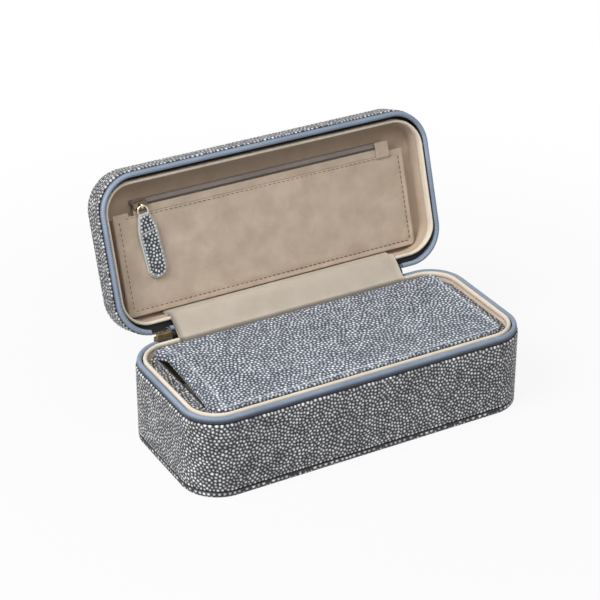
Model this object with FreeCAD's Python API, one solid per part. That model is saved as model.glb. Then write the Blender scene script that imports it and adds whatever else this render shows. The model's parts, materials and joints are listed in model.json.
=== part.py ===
"""A zip-round watch and jewellery box, lid open, with a lift-out watch case under its own flap.

Millimetres. X runs along the box, -Y is the front, +Z is up, and the origin is the middle of the sole.
The lid is drawn shut, in the same frame as the base, and is then turned open about its hinge line.
"""
import FreeCAD, Part
import math
import os

from FreeCAD import Vector

os.makedirs("parts", exist_ok=True)

# Whole box
LENGTH = 190.0
DEPTH = 84.0
BASE_HEIGHT = 40.5
LID_HEIGHT = 16.5
CORNER_RADIUS = 20.0
RIM_GAP = 8.1
LID_OPEN_ANGLE = 107.8
HINGE_RISE = 6.3

# Layers, clearances and cuts
COVER_THICKNESS = 0.9
LAYER_GAP = 0.05
SEAT_GAP = 0.2
MOVING_GAP = 0.3
OVERRUN = 5.0

# Base
SOLE_THICKNESS = 2.8
SOLE_SEAM = 0.3
SOLE_EDGE_RADIUS = 0.7
BASE_BOARD_THICKNESS = 2.6
BASE_FLOOR_THICKNESS = 2.0
BOARD_RIM_DROP = 2.5
BASE_LINER_THICKNESS = 2.1
BASE_LINER_FLOOR = 1.2
BASE_LIP_RISE = 4.5
BASE_LIP_HEIGHT = 3.0
LIP_ROUND = 0.85

# Lid
LID_EDGE_RADIUS = 4.5
LID_BOARD_TOP = 1.5
LID_LINER_SIDE_INSET = 2.8
LID_LINER_FRONT_INSET = 4.8
LID_LINER_THICKNESS = 1.9
LID_LINER_CEILING = 0.7
LID_LINER_ROUND = 2.0
LID_LIP_DROP = 0.4
LID_LIP_HEIGHT = 2.6

# Zip round the rims
TAPE_INSET = 0.4
TAPE_THICKNESS = 1.2
TAPE_LEG = 2.4
COIL_SIZE = 1.4
COIL_DROP = 0.1
COIL_ROUND = 0.4

# Leather spine outside the hinge and lining gusset inside it
SPINE_END_INSET = 27.0
SPINE_THICKNESS = 0.8
SPINE_TAIL = 2.2
SPINE_LOWER_RISE = 2.0
SPINE_UPPER_DROP = 0.8
GUSSET_END_INSET = 2.0
GUSSET_THICKNESS = 0.8
GUSSET_LID_REACH = 7.2
GUSSET_BASE_REACH = 2.7
GUSSET_LIP_STEP = 1.3

# Main zip slider, parked at the left end of the hinge
SLIDER_LENGTH = 8.4
SLIDER_END_GAP = 1.0
SLIDER_PLATE = 0.9
SLIDER_PLATE_HEIGHT = 4.9
SLIDER_WEB = 1.2
SLIDER_BLOCK_INSET = 2.2
SLIDER_BLOCK_WIDTH = 2.0
SLIDER_BLOCK_RISE = 8.8
SLIDER_ROUND = 0.5

# Pull: bail, ring and leather tab, one size for both zips
BAIL_LENGTH = 1.6
BAIL_WALL = 0.9
BAIL_HOLE = 1.8
RING_RADIUS = 2.8
RING_WIRE = 1.1
TAB_LENGTH = 34.0
TAB_WIDTH = 10.5
TAB_THICKNESS = 2.2
TAB_LAP = 1.6
TAB_FIT = 0.15
# Half width of the tab's outline at shares of its length, from the ring to the tip
TAB_OUTLINE_SHARES = ((0.0, 0.55), (0.05, 0.64), (0.22, 0.95), (0.32, 1.0), (0.89, 1.0), (1.0, 0.42))

# Zip pocket in the lid
POCKET_SIDE_GAP = 5.8
POCKET_FACE_DROP = 8.0
POCKET_THICKNESS = 1.0
POCKET_HINGE_GAP = 2.3
POCKET_FRONT_GAP = 10.1
POCKET_MOUTH_RADIUS = 1.0
POCKET_TAPE_WIDTH = 4.0
POCKET_UPPER_WIDTH = 2.2
POCKET_TAPE_THICKNESS = 0.7
POCKET_RETURN = 0.8
POCKET_COIL_WIDTH = 0.9
POCKET_ZIP_LEFT = 8.5
POCKET_ZIP_RIGHT = 16.5
POCKET_TAB_LENGTH = 8.0
POCKET_TAB_LAP = 1.0
POCKET_SLIDER_LENGTH = 8.0
POCKET_SLIDER_WIDTH = 5.0
POCKET_SLIDER_HEIGHT = 2.0
POCKET_SLIDER_START = 11.0
POCKET_PULL_LEAN = 2.6
POCKET_PULL_TILT = 6.0

# Lift-out watch case
INSERT_CLEARANCE = 0.8
INSERT_BACK_CLEARANCE = 1.6
INSERT_RIM_RISE = 0.6
INSERT_COVER = 0.8
INSERT_FLOOR = 1.8
INSERT_END_WALL = 6.5
INSERT_SIDE_WALL = 3.0
INSERT_LINER = 0.6
COMPARTMENT_RADIUS = 3.0
DIVIDER_THICKNESS = 2.4
DIVIDER_DROP = 3.6
COMPARTMENTS = 3

# Watch cushions
CUSHION_SIDE_GAP = 1.6
CUSHION_END_GAP = 2.0
CUSHION_HEIGHT = 20.0
# Place along the cushion, with the half depth and the height there, as shares of its own sizes
CUSHION_SECTION_SHARES = (
    (-1.0, 0.92, 0.5), (-0.8, 1.0, 0.84), (0.0, 0.95, 1.0), (0.8, 1.0, 0.84), (1.0, 0.92, 0.5),
)
CUSHION_FOOT_SHARE = 0.9
CUSHION_SIDE_SHARE = 0.45
CUSHION_SHOULDER_SHARE = 0.8
CUSHION_SHOULDER_HEIGHT_SHARE = 0.86

# Flap over the watch case
FLAP_END_INSET = 6.0
FLAP_BACK_INSET = 1.9
FLAP_BACK_RADIUS = 3.0
FLAP_LINER = 0.5
FLAP_BOARD = 1.5
FLAP_PADDING = 0.9
FLAP_COVER = 0.85
FLAP_ROUND = 0.7
FOLD_THICKNESS = 0.6
FOLD_DROP = 0.3

# Heights and half sizes that several pieces share
HALF_LENGTH = LENGTH / 2
HALF_DEPTH = DEPTH / 2
LID_RIM = BASE_HEIGHT + RIM_GAP
LID_TOP = LID_RIM + LID_HEIGHT
HINGE_Z = BASE_HEIGHT + HINGE_RISE
BOARD_INSET = COVER_THICKNESS + LAYER_GAP
BASE_LINER_INSET = BOARD_INSET + BASE_BOARD_THICKNESS + LAYER_GAP
BASE_CAVITY_INSET = BASE_LINER_INSET + BASE_LINER_THICKNESS
BASE_FLOOR = SOLE_THICKNESS + LAYER_GAP + BASE_FLOOR_THICKNESS
BASE_CAVITY_FLOOR = BASE_FLOOR + LAYER_GAP + BASE_LINER_FLOOR
BASE_LIP_TOP = BASE_HEIGHT + BASE_LIP_RISE
BASE_LIP_BOTTOM = BASE_LIP_TOP - BASE_LIP_HEIGHT
TAPE_HEIGHT = (RIM_GAP - MOVING_GAP) / 2
TAPE_INNER = TAPE_INSET + TAPE_THICKNESS
COIL_INSET = TAPE_INNER + LAYER_GAP
LID_CEILING = LID_TOP - BOARD_INSET - LID_BOARD_TOP - LAYER_GAP - LID_LINER_CEILING
LID_WALL_Y = HALF_DEPTH - LID_LINER_FRONT_INSET - LID_LINER_THICKNESS
LID_LINER_RADIUS = CORNER_RADIUS - (LID_LINER_SIDE_INSET + LID_LINER_FRONT_INSET) / 2
LID_ROOM_RADIUS = LID_LINER_RADIUS - LID_LINER_THICKNESS
SPINE_HALF_LENGTH = HALF_LENGTH - SPINE_END_INSET
GUSSET_HALF_LENGTH = SPINE_HALF_LENGTH - GUSSET_END_INSET
SLIDER_X = -(SPINE_HALF_LENGTH + SLIDER_END_GAP + SLIDER_LENGTH / 2)
TAB_TOP = -2 * RING_RADIUS + TAB_LAP

# The watch case and its flap
INSERT_HALF_LENGTH = HALF_LENGTH - BASE_CAVITY_INSET - INSERT_CLEARANCE
INSERT_FRONT = -HALF_DEPTH + BASE_CAVITY_INSET + INSERT_CLEARANCE
INSERT_BACK = HALF_DEPTH - BASE_CAVITY_INSET - INSERT_BACK_CLEARANCE
INSERT_RADIUS = CORNER_RADIUS - BASE_CAVITY_INSET - INSERT_CLEARANCE
INSERT_BOTTOM = BASE_CAVITY_FLOOR + SEAT_GAP
INSERT_TOP = BASE_HEIGHT + INSERT_RIM_RISE
INSERT_BOARD_INSET = INSERT_COVER + LAYER_GAP
INSERT_BOARD_FLOOR = INSERT_BOTTOM + INSERT_BOARD_INSET + INSERT_FLOOR
INSERT_CAVITY_FLOOR = INSERT_BOARD_FLOOR + LAYER_GAP + INSERT_LINER
ROOM_HALF_LENGTH = INSERT_HALF_LENGTH - INSERT_END_WALL
ROOM_FRONT = INSERT_FRONT + INSERT_SIDE_WALL
ROOM_BACK = INSERT_BACK - INSERT_SIDE_WALL
FLAP_HALF_LENGTH = INSERT_HALF_LENGTH - FLAP_END_INSET
FLAP_FRONT = INSERT_FRONT + FOLD_THICKNESS + MOVING_GAP
FLAP_BACK = INSERT_BACK - FLAP_BACK_INSET
FLAP_FRONT_RADIUS = INSERT_RADIUS - FLAP_END_INSET
FLAP_BOTTOM = INSERT_TOP + MOVING_GAP
FLAP_BOARD_BOTTOM = FLAP_BOTTOM + FLAP_LINER + LAYER_GAP
FLAP_PADDING_BOTTOM = FLAP_BOARD_BOTTOM + FLAP_BOARD + LAYER_GAP
FLAP_COVER_BOTTOM = FLAP_PADDING_BOTTOM + FLAP_PADDING + LAYER_GAP
FLAP_TOP = FLAP_COVER_BOTTOM + FLAP_COVER

# The lid pocket, drawn with the lid shut, so depths into the lid run up
POCKET_FACE = LID_RIM + POCKET_FACE_DROP
POCKET_HALF_LENGTH = HALF_LENGTH - LID_LINER_SIDE_INSET - LID_LINER_THICKNESS - POCKET_SIDE_GAP
POCKET_HINGE_SIDE = LID_WALL_Y - POCKET_HINGE_GAP
POCKET_FAR_SIDE = -LID_WALL_Y + POCKET_FRONT_GAP
POCKET_ZIP_Y = POCKET_FAR_SIDE + POCKET_UPPER_WIDTH + LAYER_GAP + POCKET_COIL_WIDTH / 2
POCKET_MOUTH = POCKET_ZIP_Y + POCKET_COIL_WIDTH / 2 + LAYER_GAP + POCKET_TAPE_WIDTH
POCKET_HEIGHT = POCKET_HINGE_SIDE - POCKET_MOUTH
POCKET_RADIUS = LID_ROOM_RADIUS - LID_LINER_ROUND - POCKET_HINGE_GAP - POCKET_THICKNESS
POCKET_ZIP_START = -POCKET_HALF_LENGTH + POCKET_ZIP_LEFT
POCKET_ZIP_END = POCKET_HALF_LENGTH - POCKET_ZIP_RIGHT
POCKET_SLIDER_X = -POCKET_HALF_LENGTH + POCKET_SLIDER_START + POCKET_SLIDER_LENGTH / 2
POCKET_SLIDER_BASE = POCKET_FACE + (POCKET_THICKNESS - POCKET_TAPE_THICKNESS) / 2 - SEAT_GAP


def block(x_low, x_high, y_low, y_high, z_low, z_high):
    """A box between two corners."""
    corner = Vector(x_low, y_low, z_low)
    return Part.makeBox(x_high - x_low, y_high - y_low, z_high - z_low, corner)


def corner_arc(centre_x, centre_y, radius, start_angle, z):
    """A quarter circle, anticlockwise from start_angle in degrees."""
    places = []
    for turn in (0, 45, 90):
        angle = math.radians(start_angle + turn)
        places.append(Vector(centre_x + radius * math.cos(angle), centre_y + radius * math.sin(angle), z))
    return Part.Arc(*places).toShape()


def rounded_prism(half_length, front, back, front_radius, back_radius, bottom, top):
    """An upright prism on a rounded rectangle that is centred on X."""
    right_back = corner_arc(half_length - back_radius, back - back_radius, back_radius, 0, bottom)
    left_back = corner_arc(-half_length + back_radius, back - back_radius, back_radius, 90, bottom)
    left_front = corner_arc(-half_length + front_radius, front + front_radius, front_radius, 180, bottom)
    right_front = corner_arc(half_length - front_radius, front + front_radius, front_radius, 270, bottom)
    arcs = [right_back, left_back, left_front, right_front]
    edges = []
    for index, arc in enumerate(arcs):
        following = arcs[(index + 1) % len(arcs)]
        edges.append(arc)
        edges.append(Part.makeLine(arc.lastVertex().Point, following.firstVertex().Point))
    face = Part.Face(Part.Wire(edges))
    return face.extrude(Vector(0, 0, top - bottom))


def case_prism(inset, bottom, top):
    """The box's own outline, drawn in by inset."""
    radius = CORNER_RADIUS - inset
    half_depth = HALF_DEPTH - inset
    return rounded_prism(HALF_LENGTH - inset, -half_depth, half_depth, radius, radius, bottom, top)


def case_ring(outer_inset, inner_inset, bottom, top):
    """A wall that follows the box's outline."""
    inside = case_prism(inner_inset, bottom - OVERRUN, top + OVERRUN)
    return case_prism(outer_inset, bottom, top).cut(inside)


def lid_liner_prism(inset, bottom, top):
    """The outline of the lid's inner tray, drawn in by inset."""
    half_length = HALF_LENGTH - LID_LINER_SIDE_INSET - inset
    half_depth = HALF_DEPTH - LID_LINER_FRONT_INSET - inset
    radius = LID_LINER_RADIUS - inset
    return rounded_prism(half_length, -half_depth, half_depth, radius, radius, bottom, top)


def insert_prism(inset, bottom, top):
    """The outline of the lift-out watch case, drawn in by inset."""
    radius = INSERT_RADIUS - inset
    front = INSERT_FRONT + inset
    back = INSERT_BACK - inset
    return rounded_prism(INSERT_HALF_LENGTH - inset, front, back, radius, radius, bottom, top)


def room_prism(inset, bottom, top):
    """The inside of the watch case, drawn in by inset."""
    radius = COMPARTMENT_RADIUS - inset
    front = ROOM_FRONT + inset
    back = ROOM_BACK - inset
    return rounded_prism(ROOM_HALF_LENGTH - inset, front, back, radius, radius, bottom, top)


def flap_prism(inset, bottom, top):
    """The flap's outline, drawn in by inset."""
    front = FLAP_FRONT + inset
    back = FLAP_BACK - inset
    front_radius = FLAP_FRONT_RADIUS - inset
    back_radius = FLAP_BACK_RADIUS - inset
    return rounded_prism(FLAP_HALF_LENGTH - inset, front, back, front_radius, back_radius, bottom, top)


def rounded_at(shape, height, radius):
    """The shape with every edge that lies flat at this height rounded."""
    level = [edge for edge in shape.Edges
             if all(abs(vertex.Z - height) < LAYER_GAP / 2 for vertex in edge.Vertexes)]
    return shape.makeFillet(radius, level)


def strip_along(points, thickness, half_length):
    """A strip of even thickness that follows points in the YZ plane and runs along X."""
    left = []
    right = []
    for index, (y, z) in enumerate(points):
        before = points[max(index - 1, 0)]
        after = points[min(index + 1, len(points) - 1)]
        first = unit_step(before, (y, z))
        second = unit_step((y, z), after)
        if index == 0:
            first = second
        if index == len(points) - 1:
            second = first
        normal_y = -(first[1] + second[1])
        normal_z = first[0] + second[0]
        reach = thickness / (1 + first[0] * second[0] + first[1] * second[1]) / 2
        left.append(Vector(-half_length, y + normal_y * reach, z + normal_z * reach))
        right.append(Vector(-half_length, y - normal_y * reach, z - normal_z * reach))
    corners = left + right[::-1]
    face = Part.Face(Part.makePolygon(corners + corners[:1]))
    return face.extrude(Vector(2 * half_length, 0, 0))


def unit_step(start, end):
    """The direction from one point of a plane to another, of length 1."""
    step_y = end[0] - start[0]
    step_z = end[1] - start[1]
    length = math.hypot(step_y, step_z)
    if length == 0:
        return 0.0, 0.0
    return step_y / length, step_z / length


def opened_point(y, z):
    """Where a point of the shut lid goes when the lid opens."""
    turn = math.radians(LID_OPEN_ANGLE)
    step_y = y - HALF_DEPTH
    step_z = z - HINGE_Z
    open_y = HALF_DEPTH + step_y * math.cos(turn) + step_z * math.sin(turn)
    open_z = HINGE_Z - step_y * math.sin(turn) + step_z * math.cos(turn)
    return open_y, open_z


def opened(shape):
    """A piece of the shut lid, turned open about the hinge line."""
    turned = shape.copy()
    turned.rotate(Vector(0, HALF_DEPTH, HINGE_Z), Vector(-1, 0, 0), LID_OPEN_ANGLE)
    return turned


def save(name, shape):
    """Writes one piece to its own file."""
    shape.exportStep(os.path.join("parts", name + ".step"))


def make_base():
    """Sole, leather wall, boards, lining and rolled lip of the base."""
    sole = case_prism(0, 0, SOLE_THICKNESS)
    sole = rounded_at(sole, SOLE_THICKNESS, SOLE_EDGE_RADIUS)
    save("base_sole", sole)

    cover = case_prism(0, SOLE_THICKNESS + SOLE_SEAM, BASE_HEIGHT)
    cover = rounded_at(cover, SOLE_THICKNESS + SOLE_SEAM, SOLE_EDGE_RADIUS)
    inside = case_prism(COVER_THICKNESS, SOLE_THICKNESS - OVERRUN, BASE_HEIGHT + OVERRUN)
    save("base_cover", cover.cut(inside))

    board_top = BASE_HEIGHT - BOARD_RIM_DROP
    board = case_prism(BOARD_INSET, SOLE_THICKNESS + LAYER_GAP, board_top)
    room = case_prism(BOARD_INSET + BASE_BOARD_THICKNESS, BASE_FLOOR, board_top + OVERRUN)
    save("base_board", board.cut(room))

    liner_top = BASE_LIP_BOTTOM - LAYER_GAP
    liner = case_prism(BASE_LINER_INSET, BASE_FLOOR + LAYER_GAP, liner_top)
    room = case_prism(BASE_CAVITY_INSET, BASE_CAVITY_FLOOR, liner_top + OVERRUN)
    save("base_liner", liner.cut(room))

    lip = case_ring(BASE_LINER_INSET, BASE_CAVITY_INSET, BASE_LIP_BOTTOM, BASE_LIP_TOP)
    save("base_lip", rounded_at(lip, BASE_LIP_TOP, LIP_ROUND))


def zip_gap(left_end):
    """The stretch of the back where there is no zip, from left_end to the right end of the spine."""
    right_end = SPINE_HALF_LENGTH + SLIDER_END_GAP / 2
    return block(left_end, right_end, 0, DEPTH, -LENGTH, LENGTH)


def make_base_zip():
    """Zip tape and coil on the base's rim, open along the hinge."""
    no_zip = zip_gap(-SPINE_HALF_LENGTH - SLIDER_END_GAP / 2)
    band = case_ring(TAPE_INSET, TAPE_INNER, BASE_HEIGHT, BASE_HEIGHT + TAPE_HEIGHT)
    leg = case_ring(BOARD_INSET, TAPE_INNER, BASE_HEIGHT - TAPE_LEG, BASE_HEIGHT)
    save("base_zip_tape", band.fuse(leg).removeSplitter().cut(no_zip))

    coil_top = BASE_HEIGHT + TAPE_HEIGHT - COIL_DROP
    coil = case_ring(COIL_INSET, COIL_INSET + COIL_SIZE, coil_top - COIL_SIZE, coil_top)
    save("base_zip_coil", rounded_at(coil, coil_top, COIL_ROUND).cut(no_zip))


def make_lid():
    """Leather cover, board, lining and rolled lip of the lid."""
    cover = rounded_at(case_prism(0, LID_RIM, LID_TOP), LID_TOP, LID_EDGE_RADIUS)
    inner_top = LID_TOP - COVER_THICKNESS
    inside = case_prism(COVER_THICKNESS, LID_RIM - OVERRUN, inner_top)
    inside = rounded_at(inside, inner_top, LID_EDGE_RADIUS - COVER_THICKNESS)
    save("lid_cover", opened(cover.cut(inside)))

    board_top = LID_TOP - BOARD_INSET
    board = case_prism(BOARD_INSET, LID_RIM + BOARD_RIM_DROP, board_top)
    board = rounded_at(board, board_top, LID_EDGE_RADIUS - BOARD_INSET)
    room = lid_liner_prism(-LAYER_GAP, LID_RIM - OVERRUN, board_top - LID_BOARD_TOP)
    save("lid_board", opened(board.cut(room)))

    lip_bottom = LID_RIM + LID_LIP_DROP
    lip_top = lip_bottom + LID_LIP_HEIGHT
    lip = lid_liner_prism(0, lip_bottom, lip_top)
    lip = lip.cut(lid_liner_prism(LID_LINER_THICKNESS, lip_bottom - OVERRUN, lip_top + OVERRUN))
    save("lid_lip", opened(rounded_at(lip, lip_bottom, LIP_ROUND)))

    liner = lid_liner_prism(0, lip_top + LAYER_GAP, LID_CEILING + LID_LINER_CEILING)
    room = lid_liner_prism(LID_LINER_THICKNESS, LID_RIM - OVERRUN, LID_CEILING)
    save("lid_liner", opened(liner.cut(rounded_at(room, LID_CEILING, LID_LINER_ROUND))))


def make_lid_zip():
    """Zip tape and coil on the lid's rim, clear of the parked slider."""
    no_zip = zip_gap(SLIDER_X - SLIDER_LENGTH / 2 - 2 * SLIDER_END_GAP)
    band = case_ring(TAPE_INSET, TAPE_INNER, LID_RIM - TAPE_HEIGHT, LID_RIM)
    leg = case_ring(BOARD_INSET, TAPE_INNER, LID_RIM, LID_RIM + TAPE_LEG)
    save("lid_zip_tape", opened(band.fuse(leg).removeSplitter().cut(no_zip)))

    coil_bottom = LID_RIM - TAPE_HEIGHT + COIL_DROP
    coil = case_ring(COIL_INSET, COIL_INSET + COIL_SIZE, coil_bottom, coil_bottom + COIL_SIZE)
    save("lid_zip_coil", opened(rounded_at(coil, coil_bottom, COIL_ROUND).cut(no_zip)))


def make_hinge():
    """Leather spine outside and lining gusset inside, as they lie with the lid open."""
    spine_y = HALF_DEPTH - BOARD_INSET - SPINE_THICKNESS / 2
    spine = [
        (spine_y, BASE_HEIGHT - SPINE_TAIL),
        (spine_y, BASE_HEIGHT + SPINE_LOWER_RISE),
        (spine_y, HINGE_Z - SPINE_THICKNESS),
        opened_point(spine_y, LID_RIM - SPINE_UPPER_DROP),
        opened_point(spine_y, LID_RIM + SPINE_TAIL),
    ]
    save("hinge_spine", strip_along(spine, SPINE_THICKNESS, SPINE_HALF_LENGTH))

    stand_off = MOVING_GAP + GUSSET_THICKNESS / 2
    lid_y = LID_WALL_Y - stand_off
    lip_y = HALF_DEPTH - BASE_CAVITY_INSET
    gusset = [
        opened_point(lid_y, LID_RIM + GUSSET_LID_REACH),
        opened_point(lid_y, LID_RIM + LID_LIP_DROP),
        (lip_y + GUSSET_LIP_STEP, BASE_LIP_TOP + stand_off + MOVING_GAP),
        (lip_y - stand_off, BASE_LIP_TOP + MOVING_GAP),
        (lip_y - stand_off, BASE_LIP_TOP - GUSSET_BASE_REACH),
    ]
    save("hinge_gusset", strip_along(gusset, GUSSET_THICKNESS, GUSSET_HALF_LENGTH))


def make_bail(wall_y, axis_z, floor_y):
    """A staple that a pull's ring passes through along X, standing from floor_y out to wall_y."""
    half_length = BAIL_LENGTH / 2
    half_height = BAIL_HOLE / 2 + BAIL_WALL
    staple = block(-half_length, half_length, floor_y, wall_y, axis_z - half_height, axis_z + half_height)
    hole_top = wall_y - BAIL_WALL
    hole = block(-BAIL_LENGTH, BAIL_LENGTH, hole_top - BAIL_HOLE, hole_top,
                 axis_z - BAIL_HOLE / 2, axis_z + BAIL_HOLE / 2)
    return staple.cut(hole)


def make_pull():
    """Ring and leather tab that hang from the X axis down -Z."""
    ring_centre = Vector(0, 0, -RING_RADIUS)
    ring = Part.makeTorus(RING_RADIUS, RING_WIRE / 2, ring_centre, Vector(0, 1, 0))
    eye = Part.makeTorus(RING_RADIUS, RING_WIRE / 2 + TAB_FIT, ring_centre, Vector(0, 1, 0))
    right = []
    left = []
    for down_share, width_share in TAB_OUTLINE_SHARES:
        height = TAB_TOP - TAB_LENGTH * down_share
        half_width = TAB_WIDTH * width_share / 2
        right.append(Vector(half_width, -TAB_THICKNESS / 2, height))
        left.append(Vector(-half_width, -TAB_THICKNESS / 2, height))
    corners = right + left[::-1]
    face = Part.Face(Part.makePolygon(corners + corners[:1]))
    tab = face.extrude(Vector(0, TAB_THICKNESS, 0))
    return ring, tab.cut(eye)


def make_main_slider():
    """Slider over the base's zip tape, with its pull hanging down the back."""
    left = -SLIDER_LENGTH / 2
    right = SLIDER_LENGTH / 2
    plate_low = HALF_DEPTH - TAPE_INSET + MOVING_GAP
    web_low = BASE_HEIGHT + TAPE_HEIGHT + MOVING_GAP
    web_high = web_low + SLIDER_WEB
    block_high = HALF_DEPTH - SLIDER_BLOCK_INSET
    block_low = block_high - SLIDER_BLOCK_WIDTH
    plate_high = plate_low + SLIDER_PLATE
    plate = block(left, right, plate_low, plate_high, web_high - SLIDER_PLATE_HEIGHT, web_high)
    web = block(left, right, block_high, plate_low, web_low, web_high)
    head_low = BASE_LIP_TOP + MOVING_GAP
    head = block(left, right, block_low, block_high, head_low, BASE_HEIGHT + SLIDER_BLOCK_RISE)
    head = rounded_at(head, BASE_HEIGHT + SLIDER_BLOCK_RISE, SLIDER_ROUND)
    axis_z = web_high - BAIL_WALL - BAIL_HOLE / 2 - SLIDER_WEB
    bail_y = plate_high + BAIL_HOLE + BAIL_WALL
    bail = make_bail(bail_y, axis_z, plate_high)
    slider = plate.fuse(web).fuse(head).fuse(bail).removeSplitter()
    slider.translate(Vector(SLIDER_X, 0, 0))
    save("main_slider", slider)

    swing = Vector(SLIDER_X, plate_high + BAIL_HOLE / 2, axis_z)
    for name, piece in zip(("main_pull_ring", "main_pull_tab"), make_pull()):
        piece.translate(swing)
        save(name, piece)
    print("main pull swings about", tuple(swing))


def make_pocket():
    """Flat zip pocket on the lid's ceiling, with its zip along the mouth."""
    back = POCKET_FACE + POCKET_THICKNESS
    ceiling = LID_CEILING - LAYER_GAP
    half = POCKET_HALF_LENGTH
    panel = rounded_prism(half, POCKET_MOUTH, POCKET_HINGE_SIDE, POCKET_MOUTH_RADIUS, POCKET_RADIUS,
                          POCKET_FACE, ceiling)
    inner_side = POCKET_HINGE_SIDE - POCKET_RETURN
    inner_radius = POCKET_RADIUS - POCKET_RETURN
    inside = rounded_prism(half - POCKET_RETURN, POCKET_MOUTH - POCKET_HEIGHT, inner_side,
                           POCKET_MOUTH_RADIUS, inner_radius, back, ceiling + OVERRUN)
    save("pocket_panel", opened(panel.cut(inside)))

    tape_low = POCKET_FACE + (POCKET_THICKNESS - POCKET_TAPE_THICKNESS) / 2
    tape_high = tape_low + POCKET_TAPE_THICKNESS
    tape_left = POCKET_ZIP_START - POCKET_TAB_LAP
    tape_right = POCKET_ZIP_END + POCKET_TAB_LENGTH - POCKET_TAB_LAP
    lower_edge = POCKET_ZIP_Y + POCKET_COIL_WIDTH / 2 + LAYER_GAP
    lower = block(tape_left, tape_right, lower_edge, POCKET_MOUTH - LAYER_GAP, tape_low, tape_high)
    save("pocket_zip_lower_tape", opened(lower))
    upper_edge = POCKET_ZIP_Y - POCKET_COIL_WIDTH / 2 - LAYER_GAP
    upper = block(tape_left, tape_right, POCKET_FAR_SIDE, upper_edge, tape_low, tape_high)
    wall = block(tape_left, tape_right, POCKET_FAR_SIDE, POCKET_FAR_SIDE + POCKET_RETURN, tape_low, ceiling)
    save("pocket_zip_upper_tape", opened(upper.fuse(wall).removeSplitter()))
    coil = block(POCKET_ZIP_START, POCKET_ZIP_END, upper_edge + LAYER_GAP, lower_edge - LAYER_GAP,
                 tape_low, tape_high)
    save("pocket_zip_coil", opened(coil))

    tab_high = POCKET_FACE - LAYER_GAP
    end_tab = block(POCKET_ZIP_END, POCKET_ZIP_END + POCKET_TAB_LENGTH, POCKET_FAR_SIDE - POCKET_TAB_LAP / 2,
                    POCKET_MOUTH + POCKET_TAB_LAP, tab_high - POCKET_THICKNESS, tab_high)
    save("pocket_end_tab", opened(end_tab))


def make_pocket_slider():
    """Slider on the pocket's zip, with its pull lying down the panel."""
    half_length = POCKET_SLIDER_LENGTH / 2
    half_width = POCKET_SLIDER_WIDTH / 2
    body = block(-half_length, half_length, 0, POCKET_SLIDER_HEIGHT, -half_width, half_width)
    upright = [edge for edge in body.Edges if edge.BoundBox.YLength > LAYER_GAP]
    body = body.makeFillet(half_width / 2, upright)
    bail_y = POCKET_SLIDER_HEIGHT + BAIL_HOLE + BAIL_WALL
    bail = make_bail(bail_y, 0, POCKET_SLIDER_HEIGHT)
    slider = body.fuse(bail).removeSplitter()
    swing = Vector(0, POCKET_SLIDER_HEIGHT + BAIL_HOLE / 2, 0)
    ring, tab = make_pull()
    pull = []
    for piece in (ring, tab):
        piece.rotate(Vector(0, 0, 0), Vector(0, 1, 0), POCKET_PULL_TILT)
        piece.rotate(Vector(0, 0, 0), Vector(1, 0, 0), -POCKET_PULL_LEAN)
        piece.translate(swing)
        pull.append(piece)
    names = ("pocket_slider", "pocket_pull_ring", "pocket_pull_tab")
    for name, piece in zip(names, (slider, *pull)):
        piece.rotate(Vector(0, 0, 0), Vector(1, 0, 0), -90)
        piece.rotate(Vector(0, 0, 0), Vector(0, 0, 1), 180)
        piece.translate(Vector(POCKET_SLIDER_X, POCKET_ZIP_Y, POCKET_SLIDER_BASE))
        save(name, opened(piece))
    swing_y, swing_z = opened_point(POCKET_ZIP_Y, POCKET_SLIDER_BASE - swing.y)
    print("pocket pull swings about", (POCKET_SLIDER_X, swing_y, swing_z))


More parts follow.
